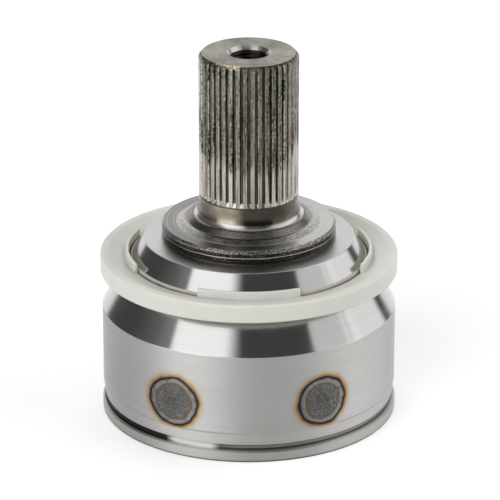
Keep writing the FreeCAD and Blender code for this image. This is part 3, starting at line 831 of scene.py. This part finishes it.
def add_shank_stain_and_painted_light(finish, stub, grain):
    """Smoky oil between the collar and the spline, with painted shade on the front-right, a painted
    highlight on the front-left flank, a painted highlight on the fillet at the foot and painted shade in the
    crease below it.
    """
    place, step = finish.place, stub.step_height
    shank = place.near(step + 1.2, stub.spline_low - 0.1, 0.5) * place.within(stub.shank_radius + 1.15, 0.6)
    smoke = place.streaks(9.0, 6.0, stub.shank_radius, 3.0, 0.55)
    film = place.lines(0.5, 12.0, 3.0, 0.6)
    brown = (smoke + (film - 0.5) * 0.3).ramp(0.36, 0.66).mix((0.080, 0.068, 0.054), (0.165, 0.142, 0.112))
    finish.lay(shank * 0.95, brown, 0.22 + (film - 0.5) * 0.12)
    shaded = (place.cos * 0.30 - place.sin * 0.95).ramp(0.72, 0.97)
    finish.lay(shank * shaded * 0.75, (0.030, 0.024, 0.019))
    lit = place.turn.band(-2.38, -1.80, 0.16) * smoke.ramp(0.30, 0.55, 0.55, 1.0)
    finish.lay(shank * lit * 0.88, (0.400, 0.365, 0.280), 0.26)
    on_step = place.within(stub.step_radius + 0.2)
    # Painted highlight on the lower fillet, broken by grain and left out at the front-right
    root = place.near(step + 0.25, step + 1.6, 0.35) * on_step
    painted_highlight_gap = 1.0 - 0.7 * place.turn.band(-1.36, -0.66, 0.14)
    finish.lay(root * painted_highlight_gap * grain.ramp(0.38, 0.56, 0.35, 0.95), (0.62, 0.60, 0.56), 0.26)
    # Painted shade in the crease where the fillet meets the step
    foot = place.near(step - 0.1, step + 0.22, 0.06) * on_step
    finish.lay(foot * grain.ramp(0.58, 0.46) * 0.9, (0.030, 0.026, 0.022), 0.45)


def add_end_wear_and_hole_shade(finish, stub, grain, blotch):
    """Dull end face, blotchy painted shade inside the threaded hole, and chipped rim."""
    place, top = finish.place, stub.top
    on_end = place.z.ramp(top - 0.14, top - 0.03)
    mottled = (grain * 0.45 + blotch * 0.55).ramp(0.40, 0.60)
    finish.lay(on_end, mottled.mix((0.300, 0.286, 0.248), (0.440, 0.424, 0.374)), 0.50, 1.0)
    finish.raise_by((grain - 0.5) * on_end * 2.0)
    hole_low = top - stub.bore_depth - 6.1
    in_bore = place.z.ramp(hole_low, hole_low + 1.0) * place.within(stub.countersink_radius + 0.05, 0.05)
    below = place.z.fall(top - 1.6, top - 0.9)
    # Painted shade, blotchy, inside the hole below its countersink
    finish.lay(in_bore * below, blotch.mix((0.055, 0.042, 0.034), (0.220, 0.195, 0.170)), 0.34)
    finish.lay(in_bore * (1.0 - below) * 0.7, (0.62, 0.60, 0.55), 0.28)
    rim = place.beyond(stub.shank_radius - stub.chamfer - 0.45, 0.3) * place.z.ramp(top - 1.3, top - 0.8)
    facing = (-place.cos * 0.42 - place.sin * 0.91).ramp(0.88, 1.0, -0.12, 0.14)
    chips = place.speckle(2.4, 2.0) + (place.speckle(0.6, 3.0) - 0.5) * 0.4 + facing
    chipped = rim * chips.ramp(0.56, 0.62)
    finish.lay(chipped * 0.9, blotch.ramp(0.44, 0.56).mix((0.60, 0.60, 0.58), (0.56, 0.46, 0.26)), 0.25, 1.0)
    finish.raise_by(-chipped * 2.0)


def machined_steel(settings):
    """Turned, ground and heat-marked steel of the bell, collar and stub."""
    steel, stub, bell = settings.finish.steel, settings.stub, settings.bell
    finish = Finish("machined_steel", 0.28)
    place = finish.place
    z = place.z
    skin = z.ramp(bell.bell_height, bell.cone_top, bell.bell_radius, bell.cone_top_radius, "LINEAR")
    inside = place.radius.fall(skin - SKIN_DEPTH, skin - 2.4, "LINEAR")
    inside = inside * z.fall(bell.cone_top - 8.0, bell.cone_top - 7.8, "LINEAR")
    outside = 1.0 - inside
    on_bell = z.fall(bell.bell_height - 0.2, bell.bell_height + 0.2) * outside
    on_cone = place.near(bell.bell_height + 0.2, bell.cone_top - 0.3, 0.2) * outside

    fine = place.lines(0.17, 24.0, 3.0, 0.7)
    middle = place.lines(0.8, 60.0, 2.0, 0.5)
    broad = place.lines(5.0, 90.0, 2.0, 0.5)
    scored = place.lines(0.55, 26.0, 3.0, 0.7).ramp(0.25, 0.75)
    cloud = place.speckle(14.0, 3.0)
    grain = place.speckle(0.35, 4.0, 0.7)
    blotch = place.speckle(3.0, 4.0, 0.65)

    finish.base = (0.4 * fine + 0.35 * middle + 0.25 * broad).mix(scaled(steel, 0.86), scaled(steel, 1.10))
    finish.lay(on_bell, scored.mix(scaled(steel, 0.93), scaled(steel, 1.03)))
    finish.lay(cloud.ramp(0.42, 0.72) * on_bell * 0.15, (0.520, 0.480, 0.430))
    finish.roughness = 0.28 + 0.25 * on_bell - 0.14 * on_cone
    finish.roughness = finish.roughness + (fine - 0.5) * (0.12 * on_bell + 0.05) + (broad - 0.5) * 0.05
    elsewhere = (1.0 - on_bell) * (1.0 - on_cone)
    finish.raise_by((fine - 0.5) * (0.5 * on_bell + 0.10 * on_cone + 0.35 * elsewhere))
    finish.raise_by((middle - 0.5) * 0.3)

    add_mouth_tones_and_painted_light(finish, bell, on_bell, outside, blotch)
    add_heat_marks(finish, settings, on_bell, grain)
    add_shank_stain_and_painted_light(finish, stub, grain)
    add_spline_stain(finish, stub)
    add_collar_wear_and_shade(finish, bell, stub, grain, blotch)
    add_end_wear_and_hole_shade(finish, stub, grain, blotch)

    # Inside: ball tracks and cavity, heat-darkened and oiled
    oiled = cloud.ramp(0.35, 0.7).mix((0.26, 0.245, 0.23), (0.40, 0.385, 0.365))
    finish.lay(inside, oiled, 0.30 + (grain - 0.5) * 0.16)
    finish.raise_by((grain - 0.5) * inside * 0.6)
    finish.roughness = finish.roughness & 0.85
    return finish.close(0.35, 0.02, {**TURNED, "Anisotropic": 0.82})


def white_plastic(settings):
    """Moulded ivory plastic, yellowed towards the cone, with a painted shadow line along its inner edge and
    darker towards its lower edge.
    """
    sizes, shield = settings.finish, settings.shield
    bore, lip = shield.bore, shield.lip_top
    finish = Finish("white_plastic", 0.38, 0.0)
    finish.base = sizes.plastic
    place = finish.place
    z, radius = place.z, place.radius
    cloud = place.speckle(9.0, 3.0)
    mottle = place.speckle(0.8, 4.0, 0.65)
    pores = place.speckle(0.25, 3.0, 0.7)
    flow = finish.tree.noise(finish.tree.vector(place.cos * 6.0, place.sin * 6.0, z * 0.12), 1.0, 3.0, 0.6)
    finish.lay(cloud.ramp(0.35, 0.68) * 0.4, scaled(sizes.plastic, 0.92))
    finish.lay(flow.ramp(0.55, 0.75) * 0.2, scaled(sizes.plastic, 0.88))
    near_lip = radius.fall(bore + 0.1, bore + 1.6) * z.fall(lip + 0.6, lip + 1.6)
    finish.lay(near_lip * (0.10 + 0.45 * cloud.ramp(0.45, 0.62)), sizes.plastic_aged, 0.45)
    seal = radius.fall(bore - 0.25, bore - 0.12) * z.ramp(lip - 0.4, lip)
    finish.lay(seal * 0.5, sizes.plastic_aged, 0.35)
    # Painted shadow: a dark line along the ring's inner edge, next to the gap at the cone
    painted_shade = radius.fall(bore + 0.10, bore + 0.45) * z.fall(lip + 0.12, lip + 0.30)
    finish.lay(painted_shade * cloud.ramp(0.30, 0.55, 0.95, 0.6), (0.085, 0.066, 0.045), 0.6)
    dust = mottle.ramp(0.60, 0.78) * z.ramp(shield.high - 0.4, shield.high + 0.1, 0.25, 0.5)
    finish.lay(dust * 0.3, (0.42, 0.40, 0.36), 0.6)
    # Darker towards the ring's lower edge
    finish.lay(z.ramp(shield.low + 0.1, shield.low + 0.9, 0.3, 0.0), (0.45, 0.43, 0.38), 0.5)
    finish.roughness = finish.roughness + (mottle - 0.5) * 0.2
    finish.raise_by((pores - 0.5) * 0.5 + (mottle - 0.5) * 0.6 + (place.lines(0.5, 50.0, 2.0) - 0.5) * 0.5)
    return finish.close(0.25, 0.02, {
        "IOR": 1.49,
        "Subsurface Weight": 0.6,
        "Subsurface Radius": (0.0032, 0.0030, 0.0024),
        "Subsurface Scale": 1.0,
    })


def hardened(name, roughness, dark, light):
    """Start a case-hardened steel; return it with its heights, its reach and its noises."""
    finish = Finish(name, roughness)
    place = finish.place
    finish.base = place.speckle(7.0, 3.0).ramp(0.35, 0.68).mix(dark, light)
    up = place.z - JOINT_CENTRE
    reach = distance(place.radius, up)
    return finish, place, abs(up), reach, place.speckle(0.4, 4.0, 0.7), place.lines(0.2, 14.0, 3.0)


def cage_steel(settings):
    """Case-hardened cage: ground inside and out, dark in the windows."""
    finish, place, up, reach, grain, fine = hardened(
        "cage_steel", 0.36, (0.105, 0.102, 0.105), (0.19, 0.18, 0.175)
    )
    ground = reach.fall(CAGE_INNER, CAGE_INNER + 0.1) | reach.ramp(CAGE_OUTER, CAGE_OUTER + 0.1)
    finish.lay(ground * 0.9, fine.mix((0.38, 0.37, 0.36), (0.52, 0.51, 0.49)), 0.24)
    finish.lay(up.ramp(CAGE_HALF, CAGE_HALF + 0.15) * 0.7, (0.26, 0.25, 0.24), 0.3)
    finish.lay(place.speckle(4.0, 3.0).ramp(0.52, 0.72) * 0.35, settings.finish.oil_stain, 0.28)
    finish.roughness = finish.roughness + (fine - 0.5) * 0.1 + (grain - 0.5) * 0.12
    finish.raise_by((fine - 0.5) * 0.4 + (grain - 0.5) * (1.2 - ground * 0.9))
    return finish.close(0.3, 0.02, TURNED)


def race_steel(settings):
    """Case-hardened inner race: ground sphere and tracks, turned ends, oiled bore."""
    finish, place, up, reach, grain, fine = hardened(
        "race_steel", 0.28, (0.34, 0.33, 0.32), (0.46, 0.45, 0.43)
    )
    on_ends = up.ramp(RACE_HALF - 0.05, RACE_HALF + 0.05)
    ground = fine.mix((0.42, 0.41, 0.40), (0.56, 0.55, 0.53))
    finish.lay(reach.ramp(RACE_REACH - 0.05, RACE_REACH + 0.05), ground, 0.20)
    rolled = reach.fall(RACE_REACH - 0.4, RACE_REACH - 0.2) * place.beyond(SHAFT_REACH) * (1.0 - on_ends)
    finish.lay(rolled * place.speckle(3.0, 3.0).ramp(0.4, 0.6) * 0.5, (0.30, 0.25, 0.20), 0.2)
    finish.lay(on_ends * 0.8, fine.mix((0.17, 0.165, 0.16), (0.30, 0.29, 0.28)), 0.34)
    finish.lay(place.within(SHAFT_REACH - 0.6) * 0.7, (0.15, 0.135, 0.12), 0.36)
    finish.lay(place.speckle(4.0, 3.0).ramp(0.54, 0.74) * 0.3, settings.finish.oil_stain, 0.26)
    finish.roughness = finish.roughness + (fine - 0.5) * 0.1 + (grain - 0.5) * 0.1
    finish.raise_by((fine - 0.5) * 0.4 + (grain - 0.5) * 0.5)
    return finish.close(0.3, 0.02, TURNED)


def ball_steel(settings):
    """Lapped bearing steel with a thin film of oil."""
    finish = Finish("ball_steel", 0.07)
    place = finish.place
    haze = place.speckle(0.7, 4.0, 0.7)
    smear = finish.tree.noise(place.spot, 0.33, 3.0, 0.6, 1.2).ramp(0.55, 0.75)
    finish.base = place.speckle(6.0, 2.0).ramp(0.3, 0.7).mix((0.58, 0.575, 0.57), (0.66, 0.655, 0.64))
    finish.lay(smear * 0.25, settings.finish.straw, 0.19)
    finish.roughness = finish.roughness + haze.ramp(0.5, 0.8) * 0.05
    finish.raise_by((haze - 0.5) * 0.3 + smear * 0.2)
    return finish.close(0.12, 0.01)


def spring_steel(settings):
    """Oil-blackened spring wire, rubbed bright in places."""
    finish = Finish("spring_steel", 0.32)
    place = finish.place
    grain = place.speckle(0.3, 4.0, 0.7)
    draw = place.lines(0.25, 8.0, 3.0)
    finish.base = draw.mix((0.07, 0.068, 0.07), (0.16, 0.155, 0.155))
    finish.lay(grain.ramp(0.58, 0.75) * 0.5, settings.finish.dark_steel, 0.26)
    finish.raise_by((grain - 0.5) + (draw - 0.5) * 0.6)
    return finish.close(0.3, 0.02)


MAKERS = {maker.__name__: maker for maker in (
    machined_steel, white_plastic, cage_steel, race_steel, ball_steel, spring_steel
)}


def finish_of(name, settings):
    """Return a finish, made the first time that a piece asks for it."""
    made = bpy.data.materials.get(f"joint_{name}")
    if not made:
        made = MAKERS[name](settings)
        made.name = f"joint_{name}"
    return made


def dress_node(name, material):
    """Give a CAD node its finish."""
    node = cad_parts[name]
    if not node.material_slots:
        node.data.materials.append(material)
    for slot in node.material_slots:
        slot.material = material


# ---------------------------------------------------------------- operators

class PieceOperator:
    """What every operator here shares."""

    bl_options = {"REGISTER", "UNDO"}

    def execute(self, context):
        self.make(context.scene.cv_joint)
        return {"FINISHED"}


class CVJ_OT_housing(PieceOperator, bpy.types.Operator):
    """Turn the bell, collar and stub's core, and close them round the ball tracks"""

    bl_idname = "cvj.housing"
    bl_label = "Bell and stub"

    @staticmethod
    def outline(bell, stub):
        side = bell.bell_radius
        groove = side - bell.groove_depth
        land = side - bell.land_depth
        root = stub.shank_radius - stub.tooth_depth
        full_depth = stub.spline_low + stub.runout
        tip_rise = stub.chamfer - stub.tooth_depth
        sink = stub.countersink_radius - stub.bore_radius
        fillet = stub.shank_radius + stub.root_fillet
        corners = [
            (bell.flange_radius - bell.flange_edge - 0.6, 0.0, 0),
            (bell.flange_radius - bell.flange_edge, 0.0, 0.12),
            (bell.flange_radius, bell.flange_edge, 0.25),
            (bell.flange_radius, bell.flange_height, 0.15),
            (groove, bell.groove_low, 0.2),
            (groove, bell.groove_high, 0.15),
            (land, bell.land_low, 0.15),
            (land + bell.land_taper, bell.land_high, 0.2),
            (side, bell.land_high + bell.foot, 0.3),
            (side, bell.bell_height, 0.6),
            (bell.cone_top_radius, bell.cone_top, 0.45),
            (stub.neck_radius, bell.cone_top, 0.12),
            (stub.neck_radius, stub.neck_high, 0.12),
            (stub.collar_radius, stub.neck_high, 0.12),
            (stub.collar_radius, stub.collar_height - stub.collar_edge, 0.25),
            (stub.collar_radius - stub.collar_edge, stub.collar_height, 0.25),
            (stub.seat_radius, stub.collar_height, 0.15),
            (stub.relief_radius, stub.relief_height, 0.15),
            (stub.relief_inner, stub.relief_height, 0.15),
            (stub.step_radius, stub.step_height, 0.1),
            (fillet, stub.step_height, 0),
        ]
        points = rounded(corners)
        fillet_steps = 12
        for step in range(1, fillet_steps + 1):
            swing = step / fillet_steps * math.pi / 2
            up = stub.step_height + stub.root_rise * (1 - math.cos(swing))
            points.append(Vector((fillet - stub.root_fillet * math.sin(swing), up)))
        ends = [
            (stub.shank_radius, stub.spline_low - 0.6, 0),
            (stub.shank_radius, stub.spline_low, 0.1),
            (root, full_depth, 0.3),
            (root, stub.top - tip_rise, 0),
            (stub.shank_radius - stub.chamfer, stub.top, 0.1),
            (stub.countersink_radius, stub.top, 0.15),
            (stub.bore_radius + 0.05, stub.top - sink - 0.05, 0.05),
            (stub.thread_radius, stub.top - sink - 0.5, 0.1),
            (stub.thread_radius, stub.top - stub.bore_depth, 0),
            (0.0, stub.top - stub.bore_depth - stub.thread_radius * 0.6, 0),
        ]
        return points + rounded(ends)

    @staticmethod
    def hollow(mesh, bell):
        """Leave only the cavity and ball tracks of a merged copy of the CAD housing."""
        shape = bmesh.new()
        shape.from_mesh(mesh)
        bmesh.ops.remove_doubles(shape, verts=shape.verts, dist=JOIN)
        slope = (bell.bell_radius - bell.cone_top_radius) / (bell.cone_top - bell.bell_height)
        unwanted = []
        for face in shape.faces:
            middle = face.calc_center_median() / MM
            skin = bell.bell_radius - slope * max(0.0, middle.z - bell.bell_height)
            within = math.hypot(middle.x, middle.y) < skin - SKIN_DEPTH and middle.z < bell.cone_top - 5.0
            on_mouth = max(vertex.co.z for vertex in face.verts) < JOIN
            if on_mouth or not within:
                unwanted.append(face)
        bmesh.ops.delete(shape, geom=unwanted, context="FACES")
        return shape

    def make(self, settings):
        bell, stub = settings.bell, settings.stub
        steel = finish_of("machined_steel", settings)
        skin = turned_mesh("housing_skin", self.outline(bell, stub), bell.columns, steel)
        shape = self.hollow(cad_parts["housing"].data, bell)
        shape.from_mesh(skin)
        bmesh.ops.remove_doubles(shape, verts=shape.verts, dist=JOIN)
        open_edges = [edge for edge in shape.edges if edge.is_boundary]
        rim = [edge for edge in open_edges if max(vertex.co.z for vertex in edge.verts) < JOIN]
        bmesh.ops.triangle_fill(shape, use_beauty=True, edges=rim, normal=(0, 0, -1))
        bmesh.ops.recalc_face_normals(shape, faces=shape.faces)
        if any(edge.is_boundary for edge in shape.edges):
            raise RuntimeError("the housing's skin is not closed")
        mesh = tidy_mesh(mesh_from("joint_housing", shape))
        mesh.materials.clear()
        mesh.materials.append(steel)
        piece = weighted_piece("joint_housing", mesh)
        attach(piece, "outer")
        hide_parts("housing")


class CVJ_OT_spline(PieceOperator, bpy.types.Operator):
    """Set the teeth of the drive spline round the stub"""

    bl_idname = "cvj.spline"
    bl_label = "Spline teeth"

    @staticmethod
    def section(stub, up, radius_cut):
        """One tooth's outline across the axis: flanks, rounded tip and a foot inside the core."""
        pitch = 2 * math.pi / stub.teeth
        root = stub.shank_radius - stub.tooth_depth
        tip = stub.shank_radius - radius_cut
        tip_half = stub.shank_radius * pitch / 2 - stub.space_tip / 2
        root_half = root * pitch / 2 - stub.space_root / 2
        share_up = (tip - root) / stub.tooth_depth
        top_half = root_half + (tip_half - root_half) * share_up
        soft = min(stub.tooth_round, (tip - root) * 0.4) if tip > root else 0.0
        foot = 0.25
        foot_half = root_half + (root_half - tip_half) * foot / stub.tooth_depth
        side = [
            (root - foot, foot_half),
            (root, root_half),
            (tip - soft * 1.6, top_half + soft * 0.5),
            (tip - soft * 0.45, top_half - soft * 0.15),
            (tip, top_half - soft),
        ]
        points = []
        for across, along in side + [(across, -along) for across, along in reversed(side)]:
            swing = along / max(across, 1.0)
            points.append((across * math.cos(swing), across * math.sin(swing), up))
        return points

    def make(self, settings):
        stub = settings.stub
        steel = finish_of("machined_steel", settings)
        full = stub.spline_low + stub.runout
        shoulder = stub.top - stub.chamfer
        rise = shoulder - 0.25 - full
        rows = 5
        heights = [(stub.spline_low - 0.05, 0.0), (stub.spline_low + 0.5, 0.0)]
        heights += [(full + rise * row / rows, 0.0) for row in range(rows + 1)]
        heights += [
            (shoulder - 0.02, 0.015),
            (stub.top - stub.chamfer * 0.62, stub.chamfer * 0.38),
            (shoulder + stub.tooth_depth, stub.tooth_depth),
        ]
        sections = [self.section(stub, up, cut) for up, cut in heights]
        piece = ring_piece("stub_teeth", sections, stub.teeth, steel)
        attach(piece, "outer")


class CVJ_OT_thread(PieceOperator, bpy.types.Operator):
    """Wind the hub bolt's thread inside the stub"""

    bl_idname = "cvj.thread"
    bl_label = "Hub bolt thread"

    def make(self, settings):
        stub = settings.stub
        steel = finish_of("machined_steel", settings)
        # The thread starts above the hole's bottom and ends under its countersink
        above, under = 1.7, 1.8
        values = {
            "Root radius": (stub.thread_radius + 0.02) * MM,
            "Depth": (stub.thread_radius - stub.bore_radius) * MM,
            "Pitch": stub.thread_pitch * MM,
            "Turns": (stub.bore_depth - above - under) / stub.thread_pitch,
            "Low end": (stub.top - stub.bore_depth + above) * MM,
            "Finish": steel,
        }
        mesh = run_tree("hub_bolt_thread", bpy.data.meshes.new("thread_start"), thread_tree(), values)
        tidy_mesh(mesh, join=1e-7, sharp=40.0)
        piece = new_object("hub_bolt_thread", mesh)
        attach(piece, "outer")


class CVJ_OT_shield(PieceOperator, bpy.types.Operator):
    """Mould the plastic ring and its four tabs"""

    bl_idname = "cvj.shield"
    bl_label = "Dust shield"

    TAB_STEPS = 40
    TAB_END_ROUND = 0.22  # millimetres

    @staticmethod
    def dish(shield):
        """Return the flat rim's inner radius and the dish's rise per millimetre inside it."""
        land_inner = shield.reach - shield.rim_round - shield.land
        return land_inner, (shield.high - shield.lip_top) / (land_inner - shield.bore)

    def ring_profile(self, shield):
        land_inner, dish = self.dish(shield)
        skirt_outer = shield.seat_radius + shield.wall
        skirt_under = shield.lip_top + dish * (skirt_outer - shield.bore) - shield.wall
        rim_inner = shield.reach - shield.wall
        gap_low = shield.lip_top - shield.seal_gap
        corners = [
            (shield.seat_radius, shield.low, 0.15),
            (skirt_outer, shield.low, 0.3),
            (skirt_outer, skirt_under, 0.4),
            (rim_inner, shield.high - shield.wall, 0.5),
            (rim_inner, shield.low, 0.3),
            (shield.reach, shield.low, 0.45),
            (shield.reach, shield.high, shield.rim_round),
            (land_inner, shield.high, 0.6),
            (shield.bore, shield.lip_top, 0.12),
            (shield.bore, gap_low, 0),
            (shield.bore - 0.30, gap_low, 0),
            (shield.seal_radius + shield.seal_wall, shield.seal_top, 0.15),
            (shield.seal_radius + 0.02, shield.seal_top, 0.1),
            (shield.bore - 0.03, shield.lip_low, 0),
        ]
        points = rounded([corners[-1], *corners, corners[0]], steps=5)[1:-1]
        return points + points[:1]

    def tab_outline(self, shield, outer, top):
        """A tab's section, from its foot in the dish to its rounded top."""
        _, dish = self.dish(shield)
        foot = shield.lip_top + dish * shield.tab_wall
        low = foot + dish * shield.tab_root
        return rounded([
            (shield.bore, shield.lip_top - 0.8, 0),
            (outer + shield.tab_root, low - 0.3, 0),
            (outer + shield.tab_root, low, 0),
            (outer, foot, shield.tab_root),
            (outer, top, 0.3),
            (shield.bore, top, 0.22),
            (shield.bore, shield.lip_top - 0.4, 0),
        ], steps=5)

    def tab_sections(self, shield):
        """Sections along a tab: they swing round the axis and shrink at the tab's two rounded ends."""
        outer = shield.bore + shield.tab_wall
        top = shield.lip_top + shield.tab_height
        outline = self.tab_outline(shield, outer, top)
        middle = Vector((shield.bore + shield.tab_wall / 2, (top + shield.lip_top) / 2))
        half = shield.tab_sweep / 2
        inner = half - self.TAB_END_ROUND / outer
        ends = [(half, 0.902), (half - 0.0015, 0.965), (inner, 1.0)]
        stations = [(-swing, full) for swing, full in ends]
        stations += [(-inner + 2 * inner * step / self.TAB_STEPS, 1.0) for step in range(1, self.TAB_STEPS)]
        stations += reversed(ends)
        for swing, full in stations:
            thin = [middle + (point - middle) * full for point in outline]
            yield [(point.x * math.cos(swing), point.x * math.sin(swing), point.y) for point in thin]

    def make(self, settings):
        shield = settings.shield
        plastic = finish_of("white_plastic", settings)
        mesh = turned_mesh("shield_ring", self.ring_profile(shield), shield.columns, plastic)
        piece = weighted_piece("shield_ring", tidy_mesh(mesh, sharp=60.0))
        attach(piece, "outer")
        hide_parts("dust_shield")

        piece = ring_piece("shield_tabs", self.tab_sections(shield), shield.tab_count, plastic)
        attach(piece, "outer")


class CVJ_OT_inside(PieceOperator, bpy.types.Operator):
    """Finish the cage, inner race, circlip and balls"""

    bl_idname = "cvj.inside"
    bl_label = "Cage, race and balls"

    def make(self, settings):
        dress_node("cage", finish_of("cage_steel", settings))
        dress_node("inner_race", finish_of("race_steel", settings))
        dress_node("circlip", finish_of("spring_steel", settings))
        balls = [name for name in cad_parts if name.startswith("ball_")]
        if not balls:
            raise RuntimeError("the frame has no balls")
        for name in balls:
            dress_node(name, finish_of("ball_steel", settings))


class CVJ_OT_studio(PieceOperator, bpy.types.Operator):
    """Lay the floor, hang the soft panels and set the camera"""

    bl_idname = "cvj.studio"
    bl_label = "Studio"

    @staticmethod
    def floor(studio):
        shape = bmesh.new()
        bmesh.ops.create_grid(shape, x_segments=2, y_segments=2, size=FLOOR_HALF)
        mesh = mesh_from("floor", shape)
        material = bpy.data.materials.new("floor")
        tree = empty_tree(material)
        ray = tree.node("ShaderNodeLightPath")
        seen = Wire(tree, ray.outputs["Is Camera Ray"]) | Wire(tree, ray.outputs["Is Glossy Ray"])
        seen = seen | Wire(tree, ray.outputs["Is Transmission Ray"])
        lit = tree.wire("ShaderNodeBsdfDiffuse", None, {"Color": opaque(studio.floor)})
        glow = tree.wire("ShaderNodeEmission", None, {"Color": WHITE, "Strength": seen * studio.floor_glow})
        both = tree.wire("ShaderNodeAddShader", None, {0: lit, 1: glow})
        tree.node("ShaderNodeOutputMaterial", None, {"Surface": both})
        mesh.materials.append(material)
        floor = new_object("floor", mesh)

    @staticmethod
    def panel(name, turn, rise, width, power):
        """A square soft panel that faces the object, at a turn from the camera's side; angles in degrees."""
        lamp = bpy.data.lights.new(name, "AREA")
        lamp.shape = "SQUARE"
        lamp.size = width
        lamp.energy = power
        holder = new_object(name, lamp)
        turn, rise = math.radians(turn), math.radians(rise)
        away = Vector((math.sin(turn) * math.cos(rise), -math.cos(turn) * math.cos(rise), math.sin(rise)))
        holder.location = away * PANEL_DISTANCE + Vector((0.0, 0.0, PANEL_AIM))
        holder.rotation_euler = away.to_track_quat("Z", "Y").to_euler()
        holder.visible_camera = False
        holder.visible_glossy = False

    @staticmethod
    def surroundings():
        """A white room for the camera; for the metal, a dim room with soft bright panels."""
        world = bpy.data.worlds.new("studio")
        bpy.context.scene.world = world
        tree = empty_tree(world)
        x, y, z = tree.split(tree.wire("ShaderNodeTexCoord", None, None, "Generated"))
        turn = tree.math("ARCTAN2", x, -y) * math.degrees(1.0)
        rise = tree.math("ARCSINE", z) * math.degrees(1.0)

        def panel(left, right, low, high, light, soft_left=1.5, soft_right=1.5):
            """A bright panel with soft edges, placed by turn and rise in degrees."""
            across = turn.ramp(left - soft_left, left + soft_left)
            across = across * turn.fall(right - soft_right, right + soft_right)
            return across * rise.band(low, high, 2.0) * light

        back = abs(turn).ramp(138.0, 146.0) * 0.95
        room = 0.075 + back
        room = room + turn.ramp(-110.0, -66.0, 0.0, 0.14) * turn.fall(-67.0, -64.0)
        room = room + panel(-66.0, -14.0, 4.0, 58.0, 1.45, 1.5, 9.0)
        room = room + panel(55.0, 88.0, 4.0, 60.0, 0.78)
        room = room + panel(88.0, 128.0, -2.0, 60.0, 1.12, 5.0, 4.0)
        room = room + panel(-74.0, -30.0, 1.0, 19.0, 2.1, 2.0, 4.0)
        room = room + panel(55.0, 96.0, 1.0, 17.0, 0.9, 3.0, 3.0)
        room = room | rise.ramp(60.0, 70.0, 0.0, 0.5)
        ray = tree.node("ShaderNodeLightPath")
        seen = Wire(tree, ray.outputs["Is Camera Ray"])
        strength = room * (1.0 - seen) + seen
        light = tree.wire("ShaderNodeBackground", None, {"Color": WHITE, "Strength": strength})
        tree.node("ShaderNodeOutputWorld", None, {"Surface": light})

    def make(self, settings):
        studio = settings.studio
        self.floor(studio)
        self.surroundings()
        self.panel("fill_panel", -30, 38, 1.4, studio.fill)
        self.panel("side_panel", 75, 32, 1.2, studio.side_fill)
        lens = bpy.data.cameras.new("camera")
        lens.lens = studio.lens
        lens.sensor_width = 36.0
        lens.dof.use_dof = False
        lens.clip_start = 0.01
        camera = new_object("camera", lens)
        away = Vector((0.0, -math.cos(studio.elevation), math.sin(studio.elevation)))
        aim = Vector((studio.aim_across, 0.0, studio.aim_height))
        camera.location = (aim + away * studio.distance) * MM
        camera.rotation_euler = away.to_track_quat("Z", "Y").to_euler()
        scene = bpy.context.scene
        scene.camera = camera
        scene.view_settings.view_transform = "Standard"


OPERATORS = (CVJ_OT_housing, CVJ_OT_spline, CVJ_OT_thread, CVJ_OT_shield, CVJ_OT_inside, CVJ_OT_studio)


class CVJ_PT_sidebar(bpy.types.Panel):
    """Buttons and sizes for the joint"""

    bl_label = "CV Joint"
    bl_space_type = "VIEW_3D"
    bl_region_type = "UI"
    bl_category = "CV Joint"

    def draw(self, context):
        settings = context.scene.cv_joint
        for operator in OPERATORS:
            self.layout.operator(operator.bl_idname)
        for group in ("bell", "stub", "shield", "finish", "studio"):
            box = self.layout.box()
            box.label(text=group.capitalize())
            values = getattr(settings, group)
            for name in values.__annotations__:
                box.prop(values, name, text=name.replace("_", " ").capitalize())


CLASSES = (*GROUPS, JointSettings, *OPERATORS, CVJ_PT_sidebar)


def register():
    for kind in CLASSES:
        bpy.utils.register_class(kind)
    bpy.types.Scene.cv_joint = bpy.props.PointerProperty(type=JointSettings)


def unregister():
    del bpy.types.Scene.cv_joint
    for kind in reversed(CLASSES):
        bpy.utils.unregister_class(kind)


def main():
    register()
    for operator in OPERATORS:
        family, name = operator.bl_idname.split(".")
        getattr(getattr(bpy.ops, family), name)()
    bpy.context.view_layer.update()


if __name__ == "__main__":
    main()
